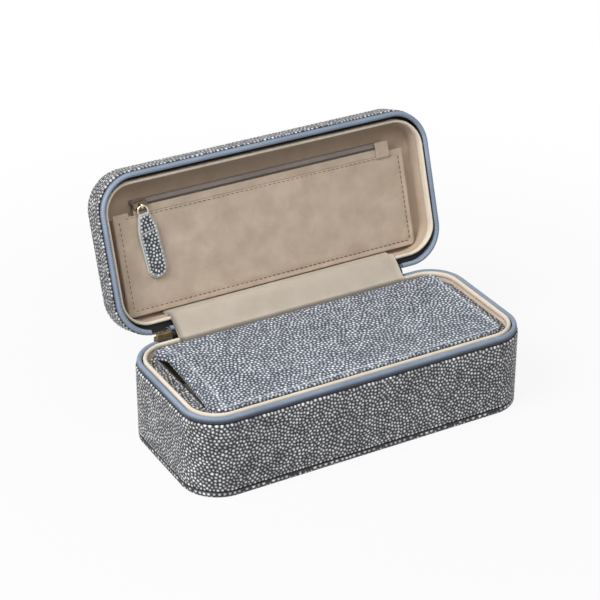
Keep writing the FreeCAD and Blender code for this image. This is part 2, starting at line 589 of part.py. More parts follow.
def make_insert():
    """Leather-covered watch case that lifts out of the base, with its lining and dividers."""
    cover = insert_prism(0, INSERT_BOTTOM, INSERT_TOP)
    core = insert_prism(INSERT_COVER, INSERT_BOTTOM + INSERT_COVER, INSERT_TOP - INSERT_COVER)
    mouth = room_prism(0, INSERT_TOP - INSERT_COVER - LAYER_GAP, INSERT_TOP + OVERRUN)
    save("insert_cover", cover.cut(core).cut(mouth))

    board_top = INSERT_TOP - INSERT_BOARD_INSET
    board = insert_prism(INSERT_BOARD_INSET, INSERT_BOTTOM + INSERT_BOARD_INSET, board_top)
    save("insert_board", board.cut(room_prism(0, INSERT_BOARD_FLOOR, INSERT_TOP + OVERRUN)))

    liner = room_prism(LAYER_GAP, INSERT_BOARD_FLOOR + LAYER_GAP, INSERT_TOP)
    room = room_prism(LAYER_GAP + INSERT_LINER, INSERT_CAVITY_FLOOR, INSERT_TOP + OVERRUN)
    save("insert_liner", liner.cut(room))

    inner_half = ROOM_HALF_LENGTH - INSERT_LINER - 2 * LAYER_GAP
    room_front = ROOM_FRONT + INSERT_LINER + 2 * LAYER_GAP
    room_back = ROOM_BACK - INSERT_LINER - 2 * LAYER_GAP
    pitch = (2 * inner_half + DIVIDER_THICKNESS) / COMPARTMENTS
    for index in range(COMPARTMENTS - 1):
        middle = -inner_half + (index + 1) * pitch - DIVIDER_THICKNESS / 2
        divider = block(middle - DIVIDER_THICKNESS / 2, middle + DIVIDER_THICKNESS / 2, room_front, room_back,
                        INSERT_CAVITY_FLOOR + LAYER_GAP, INSERT_TOP - DIVIDER_DROP)
        save("insert_divider_%d" % (index + 1), divider)
    for index in range(COMPARTMENTS):
        middle = -inner_half + (index + 0.5) * pitch - DIVIDER_THICKNESS / 2
        half_length = (pitch - DIVIDER_THICKNESS) / 2 - CUSHION_SIDE_GAP
        half_depth = (room_back - room_front) / 2 - CUSHION_END_GAP
        cushion = make_cushion(half_length, half_depth)
        cushion.translate(Vector(middle, (room_back + room_front) / 2, INSERT_CAVITY_FLOOR + LAYER_GAP))
        save("watch_cushion_%d" % (index + 1), cushion)

    fold = block(-FLAP_HALF_LENGTH + FLAP_FRONT_RADIUS, FLAP_HALF_LENGTH - FLAP_FRONT_RADIUS, INSERT_FRONT,
                 INSERT_FRONT + FOLD_THICKNESS, INSERT_TOP + LAYER_GAP, FLAP_TOP - FOLD_DROP)
    save("flap_fold", fold)


def make_cushion(half_length, half_depth):
    """A crowned watch cushion whose sides draw in between its corners."""
    sections = []
    for place_share, depth_share, height_share in CUSHION_SECTION_SHARES:
        x = half_length * place_share
        wide = half_depth * depth_share
        tall = CUSHION_HEIGHT * height_share
        foot = wide * CUSHION_FOOT_SHARE
        shoulder = wide * CUSHION_SHOULDER_SHARE
        shoulder_z = tall * CUSHION_SHOULDER_HEIGHT_SHARE
        edges = [
            Part.makeLine(Vector(x, -foot, 0), Vector(x, foot, 0)),
            Part.Arc(Vector(x, foot, 0), Vector(x, wide, tall * CUSHION_SIDE_SHARE),
                     Vector(x, shoulder, shoulder_z)).toShape(),
            Part.Arc(Vector(x, shoulder, shoulder_z), Vector(x, 0, tall),
                     Vector(x, -shoulder, shoulder_z)).toShape(),
            Part.Arc(Vector(x, -shoulder, shoulder_z), Vector(x, -wide, tall * CUSHION_SIDE_SHARE),
                     Vector(x, -foot, 0)).toShape(),
        ]
        sections.append(Part.Wire(edges))
    return Part.makeLoft(sections, True, False)


def make_flap():
    """Padded leather flap that shuts the watch case, hinged on a fold along its front."""
    cover = rounded_at(flap_prism(0, FLAP_BOARD_BOTTOM, FLAP_TOP), FLAP_TOP, FLAP_ROUND)
    core = flap_prism(FLAP_COVER, FLAP_BOARD_BOTTOM - OVERRUN, FLAP_COVER_BOTTOM)
    save("flap_cover", cover.cut(core))
    core_inset = FLAP_COVER + LAYER_GAP
    save("flap_padding", flap_prism(core_inset, FLAP_PADDING_BOTTOM, FLAP_PADDING_BOTTOM + FLAP_PADDING))
    save("flap_board", flap_prism(core_inset, FLAP_BOARD_BOTTOM, FLAP_BOARD_BOTTOM + FLAP_BOARD))
    save("flap_liner", flap_prism(0, FLAP_BOTTOM, FLAP_BOTTOM + FLAP_LINER))
    print("flap turns about", (0, INSERT_FRONT + FOLD_THICKNESS / 2, FLAP_TOP - FOLD_DROP))


make_base()
make_base_zip()
make_lid()
make_lid_zip()
make_hinge()
make_main_slider()
make_pocket()
make_pocket_slider()
make_insert()
make_flap()
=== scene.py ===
"""The looks of a zip-round watch and jewellery box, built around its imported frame.

Sizes are in millimetres and come from the frame's own nodes wherever a node has them. Pieces of the lid
are drawn with the lid shut and are then turned open about the hinge line.
"""
import json
import logging
import math
from dataclasses import dataclass, field
from enum import Enum
from typing import Callable, Optional, Sequence, Union

import bmesh
import bpy
import numpy as np
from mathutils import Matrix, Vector, noise
from mathutils.bvhtree import BVHTree
from mathutils.kdtree import KDTree


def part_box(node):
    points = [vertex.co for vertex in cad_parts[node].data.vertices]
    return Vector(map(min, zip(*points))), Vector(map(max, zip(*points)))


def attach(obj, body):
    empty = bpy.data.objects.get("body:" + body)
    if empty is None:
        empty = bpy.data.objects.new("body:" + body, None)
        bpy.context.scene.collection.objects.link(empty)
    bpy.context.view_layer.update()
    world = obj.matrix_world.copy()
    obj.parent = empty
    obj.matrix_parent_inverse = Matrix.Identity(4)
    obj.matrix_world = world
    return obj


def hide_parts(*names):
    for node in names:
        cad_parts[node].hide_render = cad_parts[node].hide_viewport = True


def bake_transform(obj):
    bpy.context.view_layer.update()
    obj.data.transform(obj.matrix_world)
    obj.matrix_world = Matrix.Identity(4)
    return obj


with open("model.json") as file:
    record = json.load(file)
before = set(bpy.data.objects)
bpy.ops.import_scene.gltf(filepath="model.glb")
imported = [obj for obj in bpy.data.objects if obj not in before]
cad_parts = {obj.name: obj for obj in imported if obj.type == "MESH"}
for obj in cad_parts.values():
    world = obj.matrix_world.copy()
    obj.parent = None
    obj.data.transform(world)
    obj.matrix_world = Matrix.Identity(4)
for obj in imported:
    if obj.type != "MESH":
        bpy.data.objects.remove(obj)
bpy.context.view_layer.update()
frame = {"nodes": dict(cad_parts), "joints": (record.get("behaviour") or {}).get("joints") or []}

LOG = logging.getLogger("watch_box")
MM = 0.001

# Sizes that several pieces share
CORNER_RADIUS = 20.0
GRAIN_STEP = 0.5
PLAIN_STEP = 2.0
CORNER_STEP = 1.2
LAYER_GAP = 0.05
WELD_REACH = 0.001
# Mark above which a point counts as leather that beads grow on
LEATHER_SHARE = 0.5
# How many finer layers the noise of a dye patch and of a grain has
BLOTCH_DETAIL = 3.0
GRAIN_DETAIL = 4.0
# Sides of a stitch and of a zip coil's wire, and samples in one turn of the coil
STITCH_SIDES = 6
COIL_SIDES = 5
COIL_SAMPLES = 8

Colour = tuple[float, float, float, float]
Array = np.ndarray
Piece = bpy.types.Object
Socket = bpy.types.NodeSocket
Given = Union[Socket, float, Sequence[float]]


class Side(Enum):
    """Which half of the box a rim zip is sewn to."""

    BASE = "base"
    LID = "lid"


def srgb(red: int, green: int, blue: int) -> Colour:
    """A colour written as it shows on a screen, as the linear values that a shader takes.

    Args:
        red: Red, from 0 to 255.
        green: Green, from 0 to 255.
        blue: Blue, from 0 to 255.

    Returns:
        Linear red, green, blue and an alpha of 1.
    """
    linear = []
    for level in (red, green, blue):
        share = level / 255
        linear.append(share / 12.92 if share <= 0.04045 else ((share + 0.055) / 1.055) ** 2.4)
    return (*linear, 1.0)


@dataclass(frozen=True)
class Box:
    """A box between two corners, in millimetres."""

    low: Array
    high: Array

    @property
    def middle(self) -> Array:
        """The box's middle."""
        return (self.low + self.high) / 2


def joint_of(name: str) -> dict:
    """The frame's joint of this name."""
    return next(joint for joint in frame["joints"] if joint["name"] == name)


HINGE = np.array(joint_of("lid_hinge")["pos_m"]) / MM
OPEN_ANGLE = math.radians(-joint_of("lid_hinge")["range_deg"][0])


def turned(points: Array, angle: float) -> Array:
    """Turns points about the lid's hinge line.

    Args:
        points: Points in millimetres, in the last axis.
        angle: Radians, where a positive angle opens the lid.

    Returns:
        The turned points.
    """
    step = points - HINGE
    made = step.copy()
    made[..., 1] = step[..., 1] * math.cos(angle) + step[..., 2] * math.sin(angle)
    made[..., 2] = step[..., 2] * math.cos(angle) - step[..., 1] * math.sin(angle)
    return made + HINGE


def opened(points: Array) -> Array:
    """Points of the shut lid, where they lie with the lid open."""
    return turned(points, OPEN_ANGLE)


def node_box(node: str, shut: bool = False) -> Box:
    """The box of a frame node.

    Args:
        node: The node's name.
        shut: True to measure a piece of the lid as it lies with the lid shut.

    Returns:
        Its box in millimetres.
    """
    if not shut:
        low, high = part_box(node)
        return Box(np.array(low) / MM, np.array(high) / MM)
    corners = np.array([vertex.co for vertex in frame["nodes"][node].data.vertices]) / MM
    corners = turned(corners, -OPEN_ANGLE)
    return Box(corners.min(0), corners.max(0))


@dataclass(frozen=True)
class Walk:
    """Samples along an outline, with their outward normals."""

    places: Array
    normals: Array
    distance: Array

    def points(self, inset: Array, height: Array) -> Array:
        """Points along the walk, by how far in from the outline and how high they lie."""
        plan = self.places - self.normals * inset[..., None]
        return np.concatenate([plan, np.broadcast_to(height[..., None], (*plan.shape[:-1], 1))], -1)

    def rows(self, profile: Sequence[Sequence[float]]) -> Array:
        """One row of points along the walk for each pair of inset and height in a profile."""
        inset, height = np.array(profile, float).T[..., None]
        return self.points(inset, height)


@dataclass(frozen=True)
class Outline:
    """A rounded rectangle, walked from the middle of its back towards +X."""

    half_x: float
    front: float
    back: float
    front_radius: float
    back_radius: float

    def stretches(self) -> list[tuple[float, float, float, float, float]]:
        """The straight sides and corners in order.

        Returns:
            Start x, start y, heading, length and radius of each, where a side's radius is 0.
        """
        flat = self.half_x - self.back_radius
        side = self.back - self.back_radius - self.front - self.front_radius
        long = 2 * (self.half_x - self.front_radius)
        corners = [(flat, self.back_radius), (side, self.front_radius), (long, self.front_radius),
                   (side, self.back_radius), (flat, 0.0)]
        x, y, heading = 0.0, self.back, 0.0
        made = []
        for length, radius in corners:
            made.append((x, y, heading, length, 0.0))
            x += length * math.cos(heading)
            y += length * math.sin(heading)
            if radius:
                made.append((x, y, heading, radius * math.pi / 2, radius))
                x += radius * (math.sin(heading) + math.cos(heading))
                y += radius * (math.sin(heading) - math.cos(heading))
                heading -= math.pi / 2
        return made

    @property
    def length(self) -> float:
        """The whole way round."""
        return sum(stretch[3] for stretch in self.stretches())

    def at(self, distance: Array) -> Walk:
        """Samples the outline.

        Args:
            distance: How far along it each sample lies.

        Returns:
            The walk.
        """
        places = np.zeros((len(distance), 2))
        normals = np.zeros((len(distance), 2))
        start = 0.0
        for x, y, heading, length, radius in self.stretches():
            here = distance >= start - LAYER_GAP
            along = distance[here] - start
            angle = heading - (along / radius if radius else 0 * along)
            normal = np.stack([-np.sin(angle), np.cos(angle)], 1)
            if radius:
                first = np.array([-math.sin(heading), math.cos(heading)])
                places[here] = np.array([x, y]) - radius * first + radius * normal
            else:
                places[here] = np.array([x, y]) + along[:, None] * [math.cos(heading), math.sin(heading)]
            normals[here] = normal
            start += length
        return Walk(places, normals, distance)

    def walk(self, step: float, corner_step: Optional[float] = None) -> Walk:
        """Samples the whole outline.

        Args:
            step: Largest distance between samples on a straight side.
            corner_step: The same on a corner.

        Returns:
            A closed walk.
        """
        distance = []
        start = 0.0
        for *_, length, radius in self.stretches():
            count = max(1, math.ceil(length / ((corner_step or step) if radius else step)))
            distance.extend(start + length * index / count for index in range(count))
            start += length
        return self.at(np.array(distance))

    def part(self, start: float, end: float, step: float) -> Walk:
        """Even samples from one distance to another."""
        return self.at(np.linspace(start, end, math.ceil((end - start) / step) + 1))


def outline_of(node: str, radius: float, shut: bool = False) -> Outline:
    """The outline of a node that is a rounded rectangle in plan."""
    box = node_box(node, shut)
    return Outline(box.high[0], box.low[1], box.high[1], radius, radius)


CASE = outline_of("base_cover", CORNER_RADIUS)


def arc(centre: Sequence[float], radius: float, start: float, end: float, count: int = 6) -> list:
    """Points of an arc in a profile, between angles in degrees where 0 points inwards and 90 up."""
    angles = np.radians(np.linspace(start, end, count + 1))
    return [(centre[0] + radius * math.cos(a), centre[1] + radius * math.sin(a)) for a in angles]


def wall_profile(foot: float, top: float, radii: Sequence[float], counts: Sequence[int]) -> list:
    """A profile up a wall whose lower and upper edges are rounded, each in its count of steps."""
    lower, upper = radii
    return (arc((lower, foot + lower), lower, 270, 180, counts[0])
            + arc((upper, top - upper), upper, 180, 90, counts[1]))


def spaced(line: Sequence, step: float) -> Array:
    """Adds points to a line wherever two lie too far apart.

    Args:
        line: The points in order.
        step: How far apart two may lie.

    Returns:
        The fuller line.
    """
    line = np.array(line, float)
    made = [line[:1]]
    for first, second in zip(line, line[1:]):
        count = max(1, math.ceil(np.linalg.norm(second - first) / step))
        made.append(first + (second - first) * (np.arange(1, count + 1) / count)[:, None])
    return np.concatenate(made)


def eased(share: Array) -> Array:
    """A share from 0 to 1 that starts and ends gently."""
    return share * share * (3 - 2 * share)


def walk_round(places: Array) -> Walk:
    """A closed walk along places that go round clockwise, seen from above."""
    way = np.roll(places, -1, 0) - np.roll(places, 1, 0)
    normals = np.stack([-way[:, 1], way[:, 0]], 1)
    normals /= np.linalg.norm(normals, axis=1)[:, None]
    return Walk(places, normals, np.zeros(len(places)))


def smooth_line(points: Sequence, count: int) -> Array:
    """A curve through points.

    Args:
        points: The points in order.
        count: Samples between one point and the next.

    Returns:
        Samples along the curve.
    """
    points = np.array(points, float)
    padded = np.concatenate([2 * points[:1] - points[1:2], points, 2 * points[-1:] - points[-2:-1]])
    made = []
    share = (np.arange(count) / count)[:, None]
    for before, first, second, after in zip(padded, padded[1:], padded[2:], padded[3:]):
        made.append(0.5 * (2 * first + (second - before) * share
                           + (2 * before - 5 * first + 4 * second - after) * share ** 2
                           + (3 * first - before - 3 * second + after) * share ** 3))
    made.append(points[-1:])
    return np.concatenate(made)


def towards_middle(ring: Array, half: float, middle: float, count: int) -> Array:
    """Rows of points that run from a ring in to the line along its middle.

    The last row lies on that line at even places, so that its two sides can be welded.

    Args:
        ring: Points round the outline.
        half: Half the length of the middle line, along X.
        middle: Its place along Y.
        count: How many rows.

    Returns:
        The rows, without the ring itself.
    """
    widest = np.linalg.norm(np.diff(ring, axis=0, append=ring[:1]), axis=1).max()
    cells = math.floor(2 * half / widest)
    target = ring.copy()
    target[:, 0] = 0.0
    if cells:
        share = np.clip(ring[:, 0] / half, -1, 1) * 0.5 + 0.5
        target[:, 0] = (np.round(share * cells) / cells * 2 - 1) * half
    target[:, 1] = middle
    shares = np.linspace(0, 1, count + 1)[1:]
    return ring + shares[:, None, None] * (target - ring)


def tube(points: Array, radius: float, sides: int, flat: float = 1.0) -> Array:
    """A tube round a line of points.

    Args:
        points: The line.
        radius: The tube's radius.
        sides: Points round it.
        flat: Share of the radius that is kept along the tube's own upright.

    Returns:
        One ring of points for each point of the line.
    """
    heading = np.gradient(points, axis=0)
    heading /= np.linalg.norm(heading, axis=1)[:, None]
    reference = np.array([1.0, 0.0, 0.0]) if abs(heading[0][0]) < 0.9 else np.array([0.0, 0.0, 1.0])
    right = np.zeros_like(points)
    for index, direction in enumerate(heading):
        reference = reference - direction * reference.dot(direction)
        reference = reference / np.linalg.norm(reference)
        right[index] = reference
    upright = np.cross(heading, right)
    turn = np.linspace(0, 2 * math.pi, sides, endpoint=False)
    return points[:, None] + radius * (right[:, None] * np.cos(turn)[None, :, None]
                                       + flat * upright[:, None] * np.sin(turn)[None, :, None])


class Draft:
    """The points, faces and marks of one piece, gathered before its mesh is made."""

    def __init__(self) -> None:
        """Starts with nothing."""
        self.points: list[Array] = []
        self.faces: list[list[int]] = []
        self.slots: list[int] = []
        self.marks: dict[str, list[Array]] = {}
        self.count = 0
        self.folded = False
        # Numbers of the points of the sheet added last, as rows and columns
        self.last = np.zeros((0, 0), int)

    def grid(self, rows: Array, slot: int | Sequence[int] = 0, wrap: bool = True, loop: bool = False,
             **marks) -> "Draft":
        """Adds a sheet of quads.

        Args:
            rows: Points, as rows and columns.
            slot: Which of the piece's finishes it wears, one for all or one for each row of quads.
            wrap: True where the last column joins the first.
            loop: True where the last row joins the first.
            marks: Numbers to store with the points, one for all or one for each row or point.

        Returns:
            This draft.
        """
        numbers = self.count + np.arange(rows.shape[0] * rows.shape[1]).reshape(rows.shape[:2])
        full = np.concatenate([numbers, numbers[:, :1]], 1) if wrap else numbers
        full = np.concatenate([full, full[:1]], 0) if loop else full
        quads = np.stack([full[:-1, :-1], full[1:, :-1], full[1:, 1:], full[:-1, 1:]], 2)
        slots = np.array(slot, int)
        slots = np.broadcast_to(slots[:, None] if slots.ndim else slots, quads.shape[:2])
        self.faces.extend(quads.reshape(-1, 4).tolist())
        self.slots.extend(slots.ravel().tolist())
        self.points.append(rows.reshape(-1, 3))
        for name in set(self.marks) | set(marks):
            value = np.array(marks.get(name, 0.0), float)
            value = value[:, None] if value.ndim == 1 else value
            value = np.broadcast_to(value, rows.shape[:2]).ravel()
            self.marks.setdefault(name, [np.zeros(self.count)]).append(value)
        self.count += numbers.size
        self.last = numbers
        return self

    def cap(self, ring: Sequence[int], slot: int = 0) -> None:
        """Closes a ring of points with one face."""
        self.faces.append([int(number) for number in ring])
        self.slots.append(slot)

    def closed(self, numbers: Array, slot: int | Sequence[int] = 0) -> "Draft":
        """Closes the first and last rows of a sheet with a flat face each.

        Args:
            numbers: The numbers of its points, as rows and columns.
            slot: Which finish it wears, as in grid.

        Returns:
            This draft.
        """
        slots = np.atleast_1d(slot)
        self.cap(numbers[0], slots[0])
        self.cap(numbers[-1][::-1], slots[-1])
        return self

    def shell(self, rows: Array, slot: int | Sequence[int] = 0, **marks) -> "Draft":
        """Adds a wrapped sheet as in grid, and closes its first and last rows."""
        self.grid(rows, slot, **marks)
        return self.closed(self.last, slot)

    def bar(self, rows: Array, **marks) -> "Draft":
        """Adds a sheet as in grid whose last row joins its first, and closes its two open ends."""
        self.grid(rows, wrap=False, loop=True, **marks)
        return self.closed(self.last.T)

    def skin(self, rows: Array, slot: int | Sequence[int] = 0, **marks) -> "Draft":
        """Adds a wrapped sheet whose first and last rows fold onto a line and are welded there."""
        self.folded = True
        return self.grid(rows, slot, **marks)

    def build(self, name: str, finishes: Sequence["Finish"], place: Optional[Callable] = None) -> Piece:
        """Makes the piece.

        Args:
            name: The piece's name.
            finishes: What its slots wear.
            place: Moves the points to where they lie, such as opened.

        Returns:
            The new object.
        """
        points = np.concatenate(self.points)
        points = place(points) if place else points
        mesh = bpy.data.meshes.new(name)
        mesh.from_pydata((points * MM).tolist(), [], self.faces)
        mesh.polygons.foreach_set("use_smooth", np.ones(len(self.faces), bool))
        mesh.polygons.foreach_set("material_index", np.array(self.slots, np.int32))
        for mark, values in self.marks.items():
            attribute = mesh.attributes.new(mark, "FLOAT", "POINT")
            attribute.data.foreach_set("value", np.concatenate(values).astype(np.float32))
        for finish in finishes:
            mesh.materials.append(finish.material())
        if self.folded:
            self.weld(mesh)
        mesh.validate()
        mesh.update()
        return put(name, mesh)

    @staticmethod
    def weld(mesh: bpy.types.Mesh) -> None:
        """Joins points that lie in one place."""
        work = bmesh.new()
        work.from_mesh(mesh)
        bmesh.ops.remove_doubles(work, verts=work.verts, dist=WELD_REACH * MM)
        work.to_mesh(mesh)
        work.free()


def put(name: str, data: bpy.types.ID) -> Piece:
    """Adds an object to the scene.

    Args:
        name: Its name.
        data: Its mesh, lamp or camera.

    Returns:
        The object.
    """
    made = bpy.data.objects.new(name, data)
    bpy.context.scene.collection.objects.link(made)
    return made


def numbers_of(collection: bpy.types.bpy_prop_collection, name: str, width: int = 1) -> Array:
    """One property of everything in a collection.

    Args:
        collection: Such as a mesh's vertices.
        name: The property.
        width: How many numbers it has.

    Returns:
        The numbers, one row for each thing where there is more than one number.
    """
    made = np.zeros(len(collection) * width, np.float32)
    collection.foreach_get(name, made)
    return made.reshape(-1, width).astype(float) if width > 1 else made.astype(float)


def seat(piece: Piece, body: Optional[str], slot: str, *nodes: str) -> None:
    """Rides a piece on its body and hides the nodes that it stands for.

    Args:
        piece: The piece.
        body: The body, or None where the piece is blended between two.
        slot: The record's name for its material; not used.
        nodes: The frame nodes that it takes the place of.
    """
    if body:
        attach(piece, body)
    if nodes:
        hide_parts(*nodes)
    LOG.info("made %s with %d faces", piece.name, len(piece.data.polygons))


def dress_node(node: str, finish: "Finish") -> None:
    """Gives a frame node that stays in sight its finish."""
    materials = frame["nodes"][node].data.materials
    materials.clear()
    materials.append(finish.material())


def settle(piece: Piece) -> None:
    """Keeps what a piece's modifiers make of it as its own mesh."""
    graph = bpy.context.evaluated_depsgraph_get()
    made = bpy.data.meshes.new_from_object(piece.evaluated_get(graph), preserve_all_data_layers=True,
                                           depsgraph=graph)
    piece.modifiers.clear()
    piece.data = made


class NodeMaker:
    """A short way to add and join the nodes of one tree."""

    def __init__(self, tree: bpy.types.NodeTree) -> None:
        """Works on this tree."""
        self.tree = tree

    def add(self, kind: str, inputs: Optional[dict] = None, **settings) -> bpy.types.Node:
        """Adds a node.

        Args:
            kind: Its type.
            inputs: Values or sockets for its inputs, by name or number.
            settings: Its own properties.

        Returns:
            The node.
        """
        node = self.tree.nodes.new(kind)
        for name, value in settings.items():
            setattr(node, name, value)
        for name, value in (inputs or {}).items():
            self.give(node.inputs[name], value)
        return node

    def give(self, socket: Socket, value: Given) -> None:
        """Joins a socket to another, or sets its value.

        Args:
            socket: The input.
            value: An output to join it to, or a plain value.
        """
        if isinstance(value, bpy.types.NodeSocket):
            self.tree.links.new(value, socket)
        else:
            socket.default_value = value

    def math(self, operation: str, *values: Given, clamp: bool = False) -> Socket:
        """The result of a sum on one to three values, kept from 0 to 1 if it is clamped."""
        node = self.add("ShaderNodeMath", dict(enumerate(values)), operation=operation, use_clamp=clamp)
        return node.outputs[0]

    def span(self, value: Socket, low: float, high: float, to_low: float = 0.0,
             to_high: float = 1.0) -> Socket:
        """A value carried smoothly from one range to another."""
        given = {"Value": value, "From Min": low, "From Max": high, "To Min": to_low, "To Max": to_high}
        return self.add("ShaderNodeMapRange", given, interpolation_type="SMOOTHSTEP").outputs["Result"]

    def mix(self, share: Given, first: Given, second: Given) -> Socket:
        """A mix of two colours, by the share of the second."""
        node = self.add("ShaderNodeMix", {0: share, 6: first, 7: second}, data_type="RGBA", blend_type="MIX")
        return node.outputs[2]

    def noise(self, vector: Socket, scale: Socket, detail: float) -> Socket:
        """Cloudy noise from 0 to 1."""
        node = self.add("ShaderNodeTexNoise", {"Vector": vector, "Scale": scale, "Detail": detail})
        return node.outputs["Fac"]

    def mark(self, name: str) -> Socket:
        """A number stored with the points of the mesh."""
        return self.add("ShaderNodeAttribute", attribute_name=name).outputs["Fac"]

    def place(self) -> Socket:
        """Where a point lies on its own piece."""
        return self.add("ShaderNodeTexCoord").outputs["Object"]


def fresh_nodes(owner: bpy.types.Material | bpy.types.World) -> NodeMaker:
    """Empties the nodes of a material or world.

    Args:
        owner: What the nodes belong to.

    Returns:
        Their maker.
    """
    owner.use_nodes = True
    owner.node_tree.nodes.clear()
    return NodeMaker(owner.node_tree)


def grouped(maker: NodeMaker, name: str, inputs: dict, fill: Callable) -> Socket:
    """Uses a shader node group, which is built the first time.

    Args:
        maker: The material's nodes.
        name: The group's name.
        inputs: Each input's name, with its kind of socket and what it is given here.
        fill: Adds the group's nodes, given their maker and the input sockets, and returns the result.

    Returns:
        The group's result.
    """
    tree = bpy.data.node_groups.get(name)
    if not tree:
        tree = bpy.data.node_groups.new(name, "ShaderNodeTree")
        for label, (kind, _) in inputs.items():
            tree.interface.new_socket(label, in_out="INPUT", socket_type="NodeSocket" + kind)
        tree.interface.new_socket("Result", in_out="OUTPUT", socket_type="NodeSocketFloat")
        inner = NodeMaker(tree)
        result = fill(inner, inner.add("NodeGroupInput").outputs)
        inner.add("NodeGroupOutput", {"Result": result})
    given = {label: value for label, (_, value) in inputs.items()}
    return maker.add("ShaderNodeGroup", given, node_tree=tree).outputs["Result"]


def blotches(maker: NodeMaker, place: Socket, size: float, softness: float) -> Socket:
    """Patches of lighter and darker dye.

    Args:
        maker: The material's nodes.
        place: Where the point lies.
        size: Size of a patch in millimetres.
        softness: How gently one patch passes into the next, from 0 to 1.

    Returns:
        From 0, dark, to 1, light.
    """
    def fill(inner: NodeMaker, given: bpy.types.NodeOutputs) -> Socket:
        """Spreads a cloudy noise about its middle."""
        wide = inner.noise(given["Place"], given["Scale"], BLOTCH_DETAIL)
        spread = inner.math("DIVIDE", inner.math("SUBTRACT", wide, 0.5), given["Softness"])
        return inner.math("ADD", spread, 0.5, clamp=True)

    inputs = {"Place": ("Vector", place), "Scale": ("Float", 1 / (size * MM)),
              "Softness": ("Float", softness)}
    return grouped(maker, "Dye blotches", inputs, fill)


def fine_grain(maker: NodeMaker, place: Socket, size: float, stretch: Sequence[float] = (1, 1, 1)) -> Socket:
    """Small fibres or pores, as a height.

    Args:
        maker: The material's nodes.
        place: Where the point lies.
        size: Size of a fibre in millimetres.
        stretch: How much finer it is along each axis.

    Returns:
        Height from 0 to 1.
    """
    def fill(inner: NodeMaker, given: bpy.types.NodeOutputs) -> Socket:
        """Makes a noise that can be finer along one axis."""
        scaled = inner.add("ShaderNodeVectorMath", {0: given["Place"], 1: given["Stretch"]},
                           operation="MULTIPLY")
        return inner.noise(scaled.outputs[0], given["Scale"], GRAIN_DETAIL)

    inputs = {"Place": ("Vector", place), "Scale": ("Float", 1 / (size * MM)),
              "Stretch": ("Vector", stretch)}
    return grouped(maker, "Fine grain", inputs, fill)


MADE: dict[str, bpy.types.Material] = {}


@dataclass(frozen=True)
class Finish:
    """A surface that pieces wear. Each kind fills in its own nodes."""

    name: str

    def material(self) -> bpy.types.Material:
        """The finish's material, made the first time it is asked for."""
        if self.name in MADE:
            return MADE[self.name]
        material = bpy.data.materials.new(self.name)
        MADE[self.name] = material
        maker = fresh_nodes(material)
        shader = maker.add("ShaderNodeBsdfPrincipled")
        maker.add("ShaderNodeOutputMaterial", {"Surface": shader.outputs[0]})
        self.dress(maker, shader)
        return material

    def dress(self, maker: NodeMaker, shader: bpy.types.Node) -> None:
        """Fills in the shader. Each kind of finish has its own way."""
        raise NotImplementedError

    @staticmethod
    def paint(maker: NodeMaker, shader: bpy.types.Node, colour: Socket, rough: Socket, height: Socket,
              depth: float) -> None:
        """Gives the shader its colour, roughness and relief.

        Args:
            maker: The material's nodes.
            shader: The shader.
            colour: The colour.
            rough: The roughness.
            height: The relief, from 0 to 1.
            depth: What a height of 1 stands for, in millimetres.
        """
        bump = maker.add("ShaderNodeBump", {"Height": height, "Distance": depth * MM})
        maker.give(shader.inputs["Base Color"], colour)
        maker.give(shader.inputs["Roughness"], rough)
        maker.give(shader.inputs["Normal"], bump.outputs[0])


@dataclass(frozen=True)
class Shagreen(Finish):
    """Leather with pale polished beads over a dark dyed ground."""

    ground: Colour
    flank: Colour
    bead: Colour
    coat: float = 0.12
    coat_rough: float = 0.3
    patch: float = 24.0
    softness: float = 0.5
    pore: float = 0.35
    pore_depth: float = 0.05
    # Shares of a bead's height where its flank and its top begin and are full
    flank_shares: tuple[float, float] = (0.0, 0.4)
    top_shares: tuple[float, float] = (0.3, 0.85)
    least_tone_share: float = 0.5
    # Brightness of a dark patch, and what a light one adds
    shade: float = 0.86
    shade_spread: float = 0.26
    # Shares of a bead's height over which its roughness changes, and the roughness at both
    polish_shares: tuple[float, float] = (0.2, 0.9)
    rough: tuple[float, float] = (0.62, 0.38)

    def dress(self, maker: NodeMaker, shader: bpy.types.Node) -> None:
        """Colours the beads by their height and by a tone of their own.

        Args:
            maker: The material's nodes.
            shader: The shader.
        """
        place = maker.place()
        bead = maker.mark("bead")
        tone = maker.mark("tone")
        patch = blotches(maker, place, self.patch, self.softness)
        foot = maker.mix(maker.span(bead, *self.flank_shares), self.ground, self.flank)
        top = maker.mix(maker.span(tone, 0.0, 1.0, self.least_tone_share, 1.0), self.flank, self.bead)
        colour = maker.mix(maker.span(bead, *self.top_shares), foot, top)
        # The crease mark pales the colour towards the bead's: painted highlight along the flap's creases,
        # and a paler band along the tab's rim and fold
        wear_and_highlight = maker.mix(maker.mark("crease"), colour, self.bead)
        shade = maker.math("MULTIPLY_ADD", patch, self.shade_spread, self.shade)
        shaded = maker.add("ShaderNodeVectorMath", {0: wear_and_highlight, "Scale": shade}, operation="SCALE")
        rough = maker.span(bead, *self.polish_shares, *self.rough)
        pores = fine_grain(maker, place, self.pore)
        self.paint(maker, shader, shaded.outputs[0], rough, pores, self.pore_depth)
        shader.inputs["Coat Weight"].default_value = self.coat
        shader.inputs["Coat Roughness"].default_value = self.coat_rough


